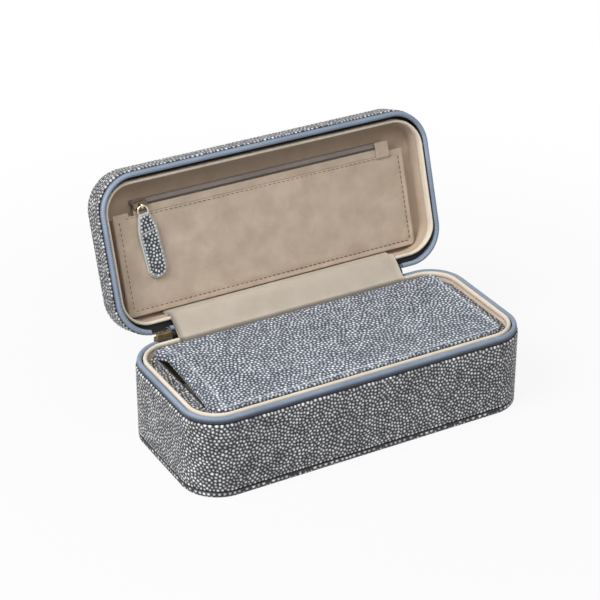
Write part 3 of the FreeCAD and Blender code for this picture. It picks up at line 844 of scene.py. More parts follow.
@dataclass(frozen=True)
class Suede(Finish):
    """Brushed lining with a blotchy nap."""

    light: Colour
    dark: Colour
    patch: float
    softness: float = 0.75
    fibre: float = 0.5
    fibre_depth: float = 0.12
    fibre_share: float = 0.7
    rough: float = 0.86
    rough_spread: float = 0.1
    sheen: float = 0.12
    sheen_rough: float = 0.5
    shine: float = 0.2

    def dress(self, maker: NodeMaker, shader: bpy.types.Node) -> None:
        """Mixes two shades by brushed patches and by fibres.

        Args:
            maker: The material's nodes.
            shader: The shader.
        """
        place = maker.place()
        patch = blotches(maker, place, self.patch, self.softness)
        fibre = fine_grain(maker, place, self.fibre)
        about = maker.math("SUBTRACT", fibre, 0.5)
        share = maker.math("MULTIPLY_ADD", about, self.fibre_share, patch, clamp=True)
        rough = maker.math("MULTIPLY_ADD", fibre, self.rough_spread, self.rough)
        self.paint(maker, shader, maker.mix(share, self.dark, self.light), rough, fibre, self.fibre_depth)
        shader.inputs["Sheen Weight"].default_value = self.sheen
        shader.inputs["Sheen Roughness"].default_value = self.sheen_rough
        shader.inputs["Specular IOR Level"].default_value = self.shine


@dataclass(frozen=True)
class WovenTape(Finish):
    """Zip tape with ribs across it, with painted shade along its lower edge."""

    light: Colour
    dark: Colour
    # Colour of the painted shade along the tape's lower edge
    foot: Colour
    patch: float = 22.0
    softness: float = 0.7
    weave: float = 0.3
    weave_depth: float = 0.08
    weave_share: float = 0.8
    rough: float = 0.5
    rough_spread: float = 0.2
    sheen: float = 0.15

    def dress(self, maker: NodeMaker, shader: bpy.types.Node) -> None:
        """Paints shade and highlight along the ribs and shade along the lower edge, and roughens the weave.

        Args:
            maker: The material's nodes.
            shader: The shader.
        """
        place = maker.place()
        weave = fine_grain(maker, place, self.weave)
        about = maker.math("SUBTRACT", weave, 0.5)
        # On the rim tape the rib mark paints the troughs between the ribs darker and their crests lighter:
        # painted shade and highlight
        share = maker.math("MULTIPLY_ADD", about, self.weave_share, maker.mark("rib"), clamp=True)
        tint = maker.mix(blotches(maker, place, self.patch, self.softness), self.dark, self.light)
        ribbed = maker.mix(share, self.dark, tint)
        rough = maker.math("MULTIPLY_ADD", weave, self.rough_spread, self.rough)
        # Painted shade along the tape's lower edge, where the piece marks it
        colour = maker.mix(maker.mark("dusk"), ribbed, self.foot)
        self.paint(maker, shader, colour, rough, weave, self.weave_depth)
        shader.inputs["Sheen Weight"].default_value = self.sheen


@dataclass(frozen=True)
class Metal(Finish):
    """Plated metal with a brushed haze."""

    tint: Colour
    tarnish: Colour
    rough: float
    rough_spread: float = 0.12
    patch: float = 4.0
    softness: float = 0.6
    hair: float = 0.4
    hair_depth: float = 0.01
    hair_stretch: tuple[float, float, float] = (0.1, 1, 1)

    def dress(self, maker: NodeMaker, shader: bpy.types.Node) -> None:
        """Dulls the plating in patches.

        Args:
            maker: The material's nodes.
            shader: The shader.
        """
        place = maker.place()
        wear_and_highlight = blotches(maker, place, self.patch, self.softness)
        hair = fine_grain(maker, place, self.hair, self.hair_stretch)
        rough = maker.math("MULTIPLY_ADD", hair, self.rough_spread, self.rough)
        self.paint(maker, shader, maker.mix(wear_and_highlight, self.tarnish, self.tint), rough, hair, self.hair_depth)
        shader.inputs["Metallic"].default_value = 1.0


@dataclass(frozen=True)
class Plain(Finish):
    """Card, foam, thread, nylon or a cut edge: one dye with its own grain."""

    light: Colour
    dark: Colour
    grain: float
    depth: float
    rough: float
    rough_spread: float = 0.15
    grains_in_patch: float = 12
    softness: float = 0.8

    def dress(self, maker: NodeMaker, shader: bpy.types.Node) -> None:
        """Mixes two shades by a fine grain.

        Args:
            maker: The material's nodes.
            shader: The shader.
        """
        place = maker.place()
        grain = fine_grain(maker, place, self.grain)
        patch = blotches(maker, place, self.grains_in_patch * self.grain, self.softness)
        share = maker.math("MULTIPLY_ADD", patch, 0.5, maker.math("MULTIPLY", grain, 0.5), clamp=True)
        rough = maker.math("MULTIPLY_ADD", grain, self.rough_spread, self.rough)
        self.paint(maker, shader, maker.mix(share, self.dark, self.light), rough, grain, self.depth)


LEATHER = Shagreen("beaded_leather", srgb(32, 33, 37), srgb(108, 109, 113), srgb(246, 246, 248))
# A lighter, bluer copy of the beaded leather for the flap and its fold: painted reflection of the bright
# surroundings on the flap's top
FLAP_LEATHER_PAINTED_REFLECTION = Shagreen("beaded_flap_leather_painted_reflection", srgb(56, 62, 74), srgb(128, 135, 148), srgb(246, 250, 255))
TAB_LEATHER = Shagreen("beaded_tab_leather", srgb(32, 37, 40), srgb(112, 117, 121), srgb(246, 248, 250))
LINING = Suede("lining_suede", srgb(211, 193, 174), srgb(178, 159, 140), 9.0)
# A darker copy of the lining suede for the lid: painted shade for the lid's inside
LID_LINING_PAINTED_SHADE = Suede("lid_lining_painted_shade_suede", srgb(196, 177, 157), srgb(176, 156, 136), 11.0)
HINGE_SUEDE = Suede("hinge_suede", srgb(199, 189, 175), srgb(181, 169, 153), 12.0)
CREAM = Suede("lip_suede", srgb(236, 226, 210), srgb(218, 204, 184), 14.0)
# A tape's third colour is the painted shade along its lower edge
RIM_TAPE = WovenTape("rim_zip_tape", srgb(173, 187, 204), srgb(110, 126, 149), srgb(54, 60, 72))
POCKET_TAPE = WovenTape("pocket_zip_tape", srgb(150, 138, 133), srgb(116, 105, 101), srgb(72, 64, 62))
# A dark slate coil: painted shade for the gap between the rim tape and the lip
RIM_COIL_PAINTED_SHADE = Plain("rim_zip_coil_painted_shade", srgb(70, 78, 92), srgb(40, 46, 56), 0.6, 0.01, 0.4)
POCKET_COIL = Plain("pocket_zip_coil", srgb(130, 122, 119), srgb(90, 83, 82), 0.6, 0.01, 0.4)
GOLD = Metal("pale_gold", srgb(238, 228, 208), srgb(186, 170, 146), 0.12)
# A darker copy of the pale gold for the pocket slider's plates and post: painted reflection of the lid's
# dark inside
GOLD_PAINTED_DARK_REFLECTION = Metal("gold_painted_dark_reflection", srgb(136, 120, 100), srgb(84, 72, 58), 0.22)
BRONZE = Metal("dull_bronze", srgb(160, 138, 108), srgb(120, 100, 74), 0.42)
CARD = Plain("grey_board", srgb(142, 134, 122), srgb(112, 104, 92), 0.5, 0.06, 0.8)
# Near-black card for the base's and lid's boards, the flap's board, the edges of the flap's layers and the
# top edge of the case's lining: painted shade, so that the gaps where it shows read dark
DARK_CARD_PAINTED_SHADE = Plain("dark_board_painted_shade", srgb(52, 50, 50), srgb(34, 32, 32), 0.5, 0.06, 0.8)
FOAM = Plain("foam", srgb(206, 198, 180), srgb(168, 160, 140), 0.9, 0.3, 0.85)
THREAD = Plain("stitch_thread", srgb(126, 102, 82), srgb(88, 68, 52), 0.25, 0.05, 0.7)
CUT_EDGE = Plain("painted_edge", srgb(226, 228, 224), srgb(194, 198, 196), 0.4, 0.05, 0.6)


@dataclass(frozen=True)
class Beads:
    """The raised beads of shagreen, spread evenly over a sheet's leather side."""

    pitch: float = 2.05
    height: float = 0.3
    least_gap_share: float = 0.76
    smallest_share: float = 0.70
    size_share: float = 0.24
    roundness: float = 0.75
    rounds: int = 5
    # First points on a square whose side is the pitch, before those that lie too close are dropped
    crowd: float = 8.0
    tree_name: str = "Shagreen scatter"

    def tree(self) -> bpy.types.NodeTree:
        """The nodes that scatter the first bead centres over the leather."""
        found = bpy.data.node_groups.get(self.tree_name)
        if found:
            return found
        tree = bpy.data.node_groups.new(self.tree_name, "GeometryNodeTree")
        for name, kind in (("Geometry", "Geometry"), ("Pitch", "Float"), ("Seed", "Int")):
            tree.interface.new_socket(name, in_out="INPUT", socket_type="NodeSocket" + kind)
        tree.interface.new_socket("Geometry", in_out="OUTPUT", socket_type="NodeSocketGeometry")
        maker = NodeMaker(tree)
        given = maker.add("NodeGroupInput").outputs
        mark = maker.add("GeometryNodeInputNamedAttribute", {"Name": "leather"}, data_type="FLOAT")
        leather = maker.math("GREATER_THAN", mark.outputs[0], LEATHER_SHARE)
        crowd = maker.math("DIVIDE", self.crowd, maker.math("POWER", given["Pitch"], 2.0))
        gap = maker.math("MULTIPLY", given["Pitch"], self.least_gap_share)
        outer = maker.add("GeometryNodeSeparateGeometry",
                          {"Geometry": given["Geometry"], "Selection": leather}, domain="FACE")
        inputs = {"Mesh": outer.outputs["Selection"], "Density Max": crowd, "Distance Min": gap,
                  "Seed": given["Seed"]}
        scatter = maker.add("GeometryNodeDistributePointsOnFaces", inputs, distribute_method="POISSON")
        ends = maker.add("GeometryNodePointsToVertices", {0: scatter.outputs["Points"]})
        maker.add("NodeGroupOutput", {0: ends.outputs[0]})
        return tree

    def scattered(self, piece: Piece, seed: int) -> Array:
        """Scatters the first bead centres on a piece's leather.

        Args:
            piece: The piece.
            seed: Which scatter it gets.

        Returns:
            The centres in metres.
        """
        probe = put("scatter", piece.data)
        step = probe.modifiers.new("scatter", "NODES")
        step.node_group = self.tree()
        sockets = {item.name: item.identifier for item in step.node_group.interface.items_tree
                   if item.in_out == "INPUT"}
        step[sockets["Pitch"]] = self.pitch * MM
        step[sockets["Seed"]] = seed
        settle(probe)
        centres = numbers_of(probe.data.vertices, "co", 3)
        bpy.data.objects.remove(probe)
        return centres

    def evened(self, centres: Array, points: Array, weight: Array) -> Array:
        """Moves each centre to the middle of the leather that lies nearest to it, a few times.

        Args:
            centres: Bead centres.
            points: Points of the leather.
            weight: Area round each point.

        Returns:
            The evened centres.
        """
        for _ in range(self.rounds):
            tree = tree_of(centres)
            owner = np.array([tree.find(point)[1] for point in points.tolist()])
            total = np.bincount(owner, weight, len(centres))
            sums = [np.bincount(owner, weight * points[:, axis], len(centres)) for axis in range(3)]
            held = total > 0
            centres[held] = np.stack(sums, 1)[held] / total[held, None]
        return centres

    def raise_on(self, piece: Piece, seed: int) -> Piece:
        """Raises the beads on a piece for good, and marks each point's bead and tone.

        Args:
            piece: A mesh whose leather mark says where beads grow.
            seed: Which scatter of beads it gets.

        Returns:
            The same piece.
        """
        mesh = piece.data
        points = numbers_of(mesh.vertices, "co", 3)
        normals = numbers_of(mesh.vertex_normals, "vector", 3)
        leather = numbers_of(mesh.attributes["leather"].data, "value")
        corners = numbers_of(mesh.loops, "vertex_index").astype(int)
        sides = numbers_of(mesh.polygons, "loop_total").astype(int)
        per_corner = np.repeat(numbers_of(mesh.polygons, "area") / sides, sides)
        weight = np.bincount(corners, per_corner, len(points))
        grown = leather > LEATHER_SHARE
        centres = self.evened(self.scattered(piece, seed), points[grown], weight[grown])
        tree = tree_of(centres)
        pairs = [tree.find_n(point, 2) for point in points.tolist()]
        owner = np.array([pair[0][1] for pair in pairs])
        nearest = np.array([pair[0][2] for pair in pairs])
        spacing = np.array([(pair[0][2] + pair[1][2]) / 2 for pair in pairs])
        tone = np.random.default_rng(seed).random(len(centres))[owner]
        reach = spacing * (self.smallest_share + self.size_share * tone)
        dome = np.clip(1 - (nearest / reach) ** 2, 0, 1) * leather
        points += normals * (self.height * MM * dome ** self.roundness)[:, None]
        mesh.vertices.foreach_set("co", points.astype(np.float32).ravel())
        for name, values in (("bead", dome), ("tone", tone)):
            mark = mesh.attributes.new(name, "FLOAT", "POINT")
            mark.data.foreach_set("value", values.astype(np.float32))
        mesh.update()
        LOG.info("raised %d beads on %s", len(centres), piece.name)
        return piece


def tree_of(points: Array) -> KDTree:
    """A search tree over points."""
    tree = KDTree(len(points))
    for index, point in enumerate(points.tolist()):
        tree.insert(point, index)
    tree.balance()
    return tree


BEADS = Beads()
TAB_BEADS = Beads(pitch=1.95, height=0.26)


@dataclass
class BaseTray:
    """Leather wall, sole, lining and rolled lip of the base."""

    edge: float = 0.7
    rim_edge: float = 0.45
    leather_thickness: float = 0.9
    lining_round: float = 2.0
    floor_inset: float = 12.0
    lip_thickness: float = 2.1
    lip_sink: float = 0.35
    seam_margin: float = 0.4

    def build(self) -> None:
        """Makes the base's pieces."""
        self.wall()
        self.sole()
        self.lining()
        self.lip()
        # The board's near-black card is painted shade in the gap between the zip tape and the lip
        dress_node("base_board", DARK_CARD_PAINTED_SHADE)

    def wall(self) -> None:
        """The beaded leather round the base."""
        box = node_box("base_cover")
        outside = wall_profile(box.low[2], box.high[2], (self.edge, self.rim_edge), (2, 2))
        outside = spaced(outside, GRAIN_STEP)
        inside = [(self.leather_thickness, box.high[2]), (self.leather_thickness, box.low[2])]
        beaded = outside[:, 1] > box.low[2] + self.seam_margin
        leather = np.concatenate([beaded, np.zeros(len(inside))])
        draft = Draft().grid(CASE.walk(GRAIN_STEP).rows([*outside, *inside]), loop=True, leather=leather)
        piece = BEADS.raise_on(draft.build("base_leather", [LEATHER]), seed=1)
        seat(piece, "base", "shagreen", "base_cover")

    def sole(self) -> None:
        """The sole, whose edge shows as a band below the seam."""
        box = node_box("base_sole")
        band = wall_profile(box.low[2], box.high[2], (self.edge / 2, self.edge), (2, 3))
        band = spaced([(self.edge / 2, box.low[2]), *band], GRAIN_STEP)
        profile = [(self.floor_inset, box.low[2]), *band, (self.floor_inset, box.high[2])]
        beaded = band[:, 1] < box.high[2] - self.seam_margin
        leather = np.concatenate([[0], beaded, [0]])
        draft = Draft().shell(CASE.walk(GRAIN_STEP).rows(profile), leather=leather)
        piece = BEADS.raise_on(draft.build("base_sole_leather", [LEATHER]), seed=2)
        seat(piece, "base", "shagreen", "base_sole")

    def lining(self) -> None:
        """The suede tray that lines the base."""
        lip = node_box("base_lip")
        box = node_box("base_liner")
        edge = CASE.half_x - box.high[0]
        wall = edge + self.lip_thickness
        watch_case = node_box("insert_cover")
        floor = watch_case.low[2] - LAYER_GAP
        top = lip.low[2] - LAYER_GAP
        corner = arc((wall + self.lining_round, floor + self.lining_round), self.lining_round, 180, 270)
        profile = [(self.floor_inset, box.low[2]), (edge, box.low[2]), (edge, top), (wall, top), *corner,
                   (self.floor_inset, floor)]
        draft = Draft().shell(CASE.walk(PLAIN_STEP, CORNER_STEP).rows(profile))
        seat(draft.build("base_lining", [LINING]), "base", "lining", "base_liner")

    def lip(self) -> None:
        """The rolled edge of the lining."""
        box = node_box("base_lip")
        piece = rolled_lip("base_rolled_lip", CASE, CASE.half_x - box.high[0], self.lip_thickness,
                           box.low[2], box.high[2] - self.lip_sink)
        seat(piece, "base", "lip", "base_lip")


def rolled_lip(name: str, outline: Outline, inset: float, thickness: float, foot: float, top: float,
               place: Optional[Callable] = None, rise: Optional[Callable] = None) -> Piece:
    """A fold of suede that runs round a rim.

    Args:
        name: The piece's name.
        outline: What it follows.
        inset: How far in its outer side lies.
        thickness: How thick the fold is.
        foot: Height where it leaves the lining.
        top: Height of the fold.
        place: Moves the points to where they lie.
        rise: How much further the fold stands up, given the outline's normals.

    Returns:
        The piece.
    """
    half = thickness / 2
    upward = 1 if top > foot else -1
    middle = inset + half
    crown = [(x, top + upward * (y - half)) for x, y in arc((middle, 0), half, 180, 0, count=10)]
    profile = [(inset + half / 4, foot), (inset, foot + upward * half), *crown,
               (inset + thickness, foot + upward * half), (inset + thickness - half / 4, foot)]
    profile = profile if upward > 0 else profile[::-1]
    walk = outline.walk(PLAIN_STEP, CORNER_STEP)
    rows = walk.rows(profile)
    if rise:
        rows[..., 2] += (rows[..., 2] - foot) / (top - foot) * upward * rise(walk.normals)
    return Draft().grid(rows, loop=True).build(name, [CREAM], place)


@dataclass
class RimZip:
    """One half of the zip: a tape rolled over the coil that is sewn behind it."""

    side: Side
    rib_pitch: float = 0.9
    rib_height: float = 0.07
    samples: int = 4
    roll_points: int = 27
    wire: float = 0.17
    end_gap: float = 0.5
    slider_gap: float = 2.0
    # Inset and rise of the roll's middle, its two radii and its thickness
    middle: tuple[float, float] = (1.75, 1.95)
    radii: tuple[float, float] = (1.32, 1.97)
    thickness: float = 0.55
    leg_inset: float = 1.15
    leg_depth: float = 2.2
    coil_radii: tuple[float, float] = (0.6, 0.6)
    # Angles of the roll's first and last edge, where 180 degrees faces out
    sewn_edge: float = 250.0
    free_edge: float = 15.0
    # Angles of the roll over which the painted shade on its lower side fades in
    painted_shade_angle: tuple[float, float] = (140.0, 185.0)
    # Height of the rim, which way is off it, and what moves the points to where they lie
    rim: float = field(init=False)
    upward: int = field(init=False)
    place: Optional[Callable] = field(init=False)

    def build(self) -> None:
        """Makes the tape and its coil."""
        spine = node_box("hinge_spine")
        slider = node_box("main_slider")
        name = self.side.value
        lid = self.side is Side.LID
        self.rim = node_box("lid_cover", True).low[2] if lid else node_box("base_cover").high[2]
        self.upward = -1 if lid else 1
        self.place = opened if lid else None
        start = spine.high[0] + self.end_gap
        left = slider.low[0] - self.slider_gap if lid else spine.low[0] - self.end_gap
        end = CASE.length + left
        seat(self.tape(name + "_rim_tape", start, end), name, "zip_tape", name + "_zip_tape")
        self.coil(start, end)
        if lid:
            gusset = node_box("hinge_gusset")
            tail = CASE.length + np.array([slider.high[0] + self.end_gap, gusset.low[0] - self.end_gap])
            seat(self.tape("lid_rim_tape_end", *tail), name, "zip_tape")

    def rolled(self, shrink: float, angles: Array) -> Array:
        """Points of the roll's section, drawn in by shrink."""
        turn = np.radians(angles)
        return np.stack([self.middle[0] + (self.radii[0] - shrink) * np.cos(turn),
                         self.middle[1] + (self.radii[1] - shrink) * np.sin(turn)], 1)

    def tape(self, name: str, start: float, end: float) -> Piece:
        """Makes a length of the ribbed tape.

        Args:
            name: The piece's name.
            start: Distance along the rim where it starts.
            end: Distance where it ends.

        Returns:
            The piece.
        """
        angles = np.linspace(self.sewn_edge, self.free_edge, self.roll_points)
        outer = self.rolled(0.0, angles)
        inner = self.rolled(self.thickness, angles[::-2])
        foot = [(self.leg_inset, -self.leg_depth), (self.leg_inset, 0.0)]
        back = [(self.leg_inset + self.thickness, -self.leg_depth)]
        profile = np.concatenate([foot, outer, inner, back])
        hidden = np.zeros(len(inner) + len(back))
        ribbed = np.concatenate([np.zeros(len(foot)), np.ones(len(outer)), hidden])
        # Painted shade on the roll's lower side and on its leg
        dusk = np.clip((angles - self.painted_shade_angle[0]) / (self.painted_shade_angle[1] - self.painted_shade_angle[0]), 0, 1)
        dusk = np.concatenate([np.ones(len(foot)), dusk, hidden])
        walk = CASE.part(start, end, self.rib_pitch / self.samples)
        rib = np.cos(2 * math.pi * walk.distance / self.rib_pitch)
        away = profile - self.middle
        away /= np.linalg.norm(away, axis=1)[:, None]
        lift = self.rib_height * ribbed[:, None] * rib
        inset = profile[:, :1] + away[:, :1] * lift
        rise = profile[:, 1:] + away[:, 1:] * lift
        rows = walk.points(inset, self.rim + self.upward * rise)[::self.upward]
        # Painted shade in the troughs between the ribs and painted highlight on their crests
        rib_shade = (0.5 + 0.5 * ribbed[:, None] * rib)[::self.upward]
        return Draft().bar(rows, rib=rib_shade, dusk=dusk[::self.upward]).build(name, [RIM_TAPE], self.place)

    def coil(self, start: float, end: float) -> None:
        """Makes the nylon coil inside the roll.

        Args:
            start: Distance along the rim where it starts.
            end: Distance where it ends.
        """
        walk = CASE.part(start, end, self.rib_pitch / COIL_SAMPLES)
        turn = 2 * math.pi * walk.distance / self.rib_pitch
        inset = self.middle[0] + self.coil_radii[0] * np.cos(turn)
        rise = self.middle[1] + self.coil_radii[1] * np.sin(turn)
        line = walk.points(inset, self.rim + self.upward * rise)
        draft = Draft().shell(tube(line, self.wire, COIL_SIDES))
        name = self.side.value
        # The coil's dark colour is painted shade
        piece = draft.build(name + "_rim_coil", [RIM_COIL_PAINTED_SHADE], self.place)
        seat(piece, name, "zip_coil", name + "_zip_coil")


@dataclass
class LidShell:
    """Leather cover, lining and rolled lip of the lid."""

    edge: float = 4.5
    rim_edge: float = 0.45
    step: float = 0.6
    leather_thickness: float = 0.9
    lining_thickness: float = 1.9
    lining_round: float = 2.4
    floor_inset: float = 10.0
    lip_corner: float = 16.2
    lip_inset: float = 0.3
    side_rise: float = 2.6
    front_rise: float = 1.2

    def build(self) -> None:
        """Makes the lid's pieces."""
        self.cover()
        self.lining()
        self.lip()
        # The board's near-black card is painted shade in the gap between the zip tape and the lip
        dress_node("lid_board", DARK_CARD_PAINTED_SHADE)

    def cover(self) -> None:
        """The beaded leather over the lid."""
        box = node_box("lid_cover", True)
        low, high = box.low[2], box.high[2]
        outside = spaced(wall_profile(low, high, (self.rim_edge, self.edge), (2, 12)), self.step)
        walk = CASE.walk(self.step)
        rows = walk.rows(outside)
        half = CASE.half_x - CASE.back
        count = math.ceil((CASE.back - self.edge) / self.step)
        top = towards_middle(rows[-1], half, 0.0, count)
        thick = self.leather_thickness
        inner_edge = self.edge - thick
        inside = arc((self.edge, high - self.edge), inner_edge, 90, 180, 4)
        inner = walk.rows([(2 * self.edge, high - thick), *inside, (thick, low)])
        under = towards_middle(inner[0], half, 0.0, 4)[::-1]
        leather = np.concatenate([np.zeros(len(under) + len(inner)), np.ones(len(rows) + len(top))])
        draft = Draft().skin(np.concatenate([under, inner, rows, top]), leather=leather)
        piece = BEADS.raise_on(draft.build("lid_leather", [LEATHER], opened), seed=3)
        seat(piece, "lid", "shagreen", "lid_cover")

    def lining(self) -> None:
        """The suede tray that lines the lid."""
        box = node_box("lid_liner", True)
        panel = node_box("pocket_panel", True)
        outline = outline_of("lid_liner", self.lip_corner, True)
        ceiling = panel.high[2] + LAYER_GAP
        wall = self.lining_thickness
        corner = arc((wall + self.lining_round, ceiling - self.lining_round), self.lining_round, 180, 90)
        profile = [(self.floor_inset, ceiling), *corner[::-1], (wall, box.low[2]), (0, box.low[2]),
                   (0, box.high[2]), (self.floor_inset, box.high[2])]
        draft = Draft().shell(outline.walk(PLAIN_STEP, CORNER_STEP).rows(profile))
        # The lid's suede is the darker copy: painted shade for the lid's inside
        seat(draft.build("lid_lining", [LID_LINING_PAINTED_SHADE], opened), "lid", "lining", "lid_liner")

    def lip_rise(self, normals: Array) -> Array:
        """The lip stands higher at the sides than along the front, and not at all along the hinge."""
        return self.side_rise * normals[:, 0] ** 2 + self.front_rise * np.clip(-normals[:, 1], 0, 1) ** 2

    def lip(self) -> None:
        """The rolled edge of the lining."""
        box = node_box("lid_lip", True)
        outline = outline_of("lid_lip", self.lip_corner, True)
        thickness = self.lining_thickness - self.lip_inset
        piece = rolled_lip("lid_rolled_lip", outline, self.lip_inset, thickness, box.high[2], box.low[2],
                           opened, self.lip_rise)
        seat(piece, "lid", "lip", "lid_lip")


def stitches(draft: Draft, line: Array, up: Array, pitch: float, length: float, wire: float) -> None:
    """Adds short threads along a line.

    Args:
        draft: What they are added to.
        line: Corners of the line.
        up: Which way is off the cloth.
        pitch: From one stitch to the next.
        length: Length of a stitch.
        wire: Half its thickness.
    """
    along = np.array([-0.5, -0.4, 0.0, 0.4, 0.5])[:, None] * length
    rise = np.array([-1.0, -0.2, 0.15, -0.2, -1.0])[:, None] * wire
    for first, second in zip(line, line[1:]):
        reach = np.linalg.norm(second - first)
        way = (second - first) / reach
        count = int(reach / pitch)
        spare = (reach - (count - 1) * pitch) / 2
        for index in range(count):
            middle = first + way * (spare + index * pitch)
            draft.shell(tube(middle + along * way + rise * up, wire, STITCH_SIDES))


@dataclass
class LidPocket:
    """Suede pocket on the lid's ceiling, with its zip along the mouth."""

    edge: float = 0.7
    seam: float = 3.0
    mouth_seam: float = 0.9
    seam_depth: float = 0.28
    seam_width: float = 1.1
    wave: float = 0.4
    wave_length: float = 42.0
    # Which layer of the noise the waves are taken from
    wave_layer: float = 3.7
    step: float = 1.5
    corner_step: float = 0.6
    hem: float = 1.0
    hem_round: float = 0.3
    hem_rib: float = 0.8
    patch_round: float = 0.4
    mouth_corner: float = 1.0
    foot_corner: float = 2.6
    face_rows: int = 30
    stitch_pitch: float = 2.7
    stitch_length: float = 1.6
    stitch_wire: float = 0.22
    coil_pitch: float = 0.8
    coil_wire: float = 0.16
    coil_rise: float = 0.2
    tape_start: float = 3.5
    end_reach: float = 8.5
    end_rise: float = 2.0
    panel: Box = field(init=False)

    def build(self) -> None:
        """Makes the pocket's pieces."""
        self.panel = node_box("pocket_panel", True)
        self.cloth()
        self.seams()
        self.tapes()
        self.coil()
        self.end_tab()

    def swell(self, rows: Array) -> Array:
        """How far the cloth lies off its plane, with grooves along its seams.

        Args:
            rows: Points of the cloth.

        Returns:
            The distance at each point.
        """
        box = self.panel
        soft = [self.wave * noise.noise(Vector((*place, self.wave_layer)))
                for place in rows[..., :2].reshape(-1, 2) / self.wave_length]
        gap_side = box.high[0] - np.abs(rows[..., 0])
        gap_low = box.high[1] - rows[..., 1]
        gap_mouth = rows[..., 1] - box.low[1] + self.seam - self.mouth_seam
        gap = np.minimum(np.minimum(gap_side, gap_low), gap_mouth)
        groove = np.exp(-((gap - self.seam) / self.seam_width) ** 2)
        free = np.clip(gap / self.seam, 0, 1)
        return np.array(soft).reshape(gap.shape) * free + self.seam_depth * groove

    def cloth(self) -> None:
        """The panel: a sheet whose edges turn back to the ceiling on three sides."""
        box = self.panel
        outline = Outline(box.high[0], box.low[1], box.high[1], self.mouth_corner, self.foot_corner)
        walk = outline.walk(self.step, self.corner_step)
        face, ceiling = box.low[2], box.high[2]
        ring = walk.rows(arc((self.edge, face + self.edge), self.edge, 270, 180, 4))
        half = outline.half_x - (box.high[1] - box.low[1]) / 2
        middle = box.middle[1]
        front = towards_middle(ring[0], half, middle, self.face_rows)[::-1]
        back = walk.rows([(self.hem, face + self.hem)])
        inner = np.concatenate([back, towards_middle(back[0], half, middle, self.face_rows // 3)])
        for rows in (front, inner):
            rows[..., 2] += self.swell(rows)
        turned_back = walk.rows([(0, ceiling), (self.hem, ceiling)])
        turned_back[..., 2] = np.where(walk.normals[:, 1] < -0.5, face + self.hem, ceiling)
        draft = Draft().skin(np.concatenate([front, ring, turned_back, inner]))
        piece = draft.build("pocket_cloth", [LINING], opened)
        seat(piece, "lid", "lining", "pocket_panel")

    def seams(self) -> None:
        """The stitches that hold the pocket."""
        box = self.panel
        left, right = box.low[0] + self.seam, box.high[0] - self.seam
        mouth, hinge = box.low[1] + self.mouth_seam, box.high[1] - self.seam
        height = box.low[2] + self.seam_depth / 2
        runs = [[(left, mouth), (left, hinge), (right, hinge), (right, mouth)],
                [(left + self.seam, mouth), (right - self.seam, mouth)]]
        draft = Draft()
        for run in runs:
            line = np.array([(x, y, height) for x, y in run])
            stitches(draft, line, np.array([0, 0, -1.0]), self.stitch_pitch, self.stitch_length,
                     self.stitch_wire)
        seat(draft.build("pocket_stitches", [THREAD], opened), "lid", "lining")

    def tapes(self) -> None:
        """The hem below the zip and the tape above it."""
        slider = node_box("pocket_slider", True)
        tapes = (("pocket_zip_lower_tape", "pocket_mouth_hem", LINING, "lining"),
                 ("pocket_zip_upper_tape", "pocket_tape", POCKET_TAPE, "pocket_tape"))
        for node, name, finish, slot in tapes:
            box = node_box(node, True)
            low = np.array([slider.middle[0] - self.tape_start, *box.low[1:]])
            high = box.high.copy()
            high[2] = box.low[2] + self.hem if finish is LINING else box.high[2]
            draft = Draft().skin(rounded_box(low, high, self.hem_round), rib=self.hem_rib)
            if finish is LINING:
                self.mouth_ends(draft, box)
            seat(draft.build(name, [finish], opened), "lid", slot, node)

    def mouth_ends(self, draft: Draft, hem: Box) -> None:
        """Sews the mouth shut beyond both ends of the zip.

        Args:
            draft: What the two ends are added to.
            hem: The box of the hem between them.
        """
        panel = self.panel
        face, back = panel.low[2], panel.low[2] + self.hem
        for left, right in ((panel.low[0], panel.low[0] + self.end_reach), (hem.high[0], panel.high[0])):
            low = np.array([left, panel.low[1] - self.end_rise, face])
            high = np.array([right, panel.low[1] + self.hem, back])
            draft.skin(rounded_box(low, high, self.hem_round), rib=self.hem_rib)

    def coil(self) -> None:
        """The closed coil of the pocket's zip."""
        box = node_box("pocket_zip_coil", True)
        slider = node_box("pocket_slider", True)
        x = np.arange(slider.middle[0] - self.tape_start, box.high[0], self.coil_pitch / COIL_SAMPLES)
        turn = 2 * math.pi * x / self.coil_pitch
        reach = (box.high[1] - box.low[1]) / 2 - self.coil_wire
        rise = self.coil_rise * np.sin(turn)
        line = np.stack([x, box.middle[1] + reach * np.cos(turn), box.low[2] + rise], 1)
        draft = Draft().shell(tube(line, self.coil_wire, COIL_SIDES))
        seat(draft.build("pocket_coil", [POCKET_COIL], opened), "lid", "pocket_coil", "pocket_zip_coil")

    def end_tab(self) -> None:
        """The suede patch over the zip's end."""
        box = node_box("pocket_end_tab", True)
        draft = Draft().skin(rounded_box(box.low, box.high, self.patch_round))
        seat(draft.build("pocket_end_patch", [LINING], opened), "lid", "lining", "pocket_end_tab")


def slab(outline: Outline, foot: float, top: float, radius: float, step: float = PLAIN_STEP,
         count: int = 4) -> Array:
    """Rows of a slab whose edges are rounded.

    Args:
        outline: What it follows in plan.
        foot: Its lowest height.
        top: Its highest height.
        radius: How round its edges are.
        step: Largest distance between points along a side.
        count: Rows from its edge to its middle, below and above.

    Returns:
        Rows from the middle of its foot, over its sides, to the middle of its top.
    """
    walk = outline.walk(step, min(step, CORNER_STEP))
    rows = walk.rows(spaced(wall_profile(foot, top, (radius, radius), (4, 4)), step))
    middle = (outline.front + outline.back) / 2
    reach = max(outline.half_x - (outline.back - outline.front) / 2, 0.0)
    under = towards_middle(rows[0], reach, middle, count)[::-1]
    over = towards_middle(rows[-1], reach, middle, count)
    return np.concatenate([under, rows, over])


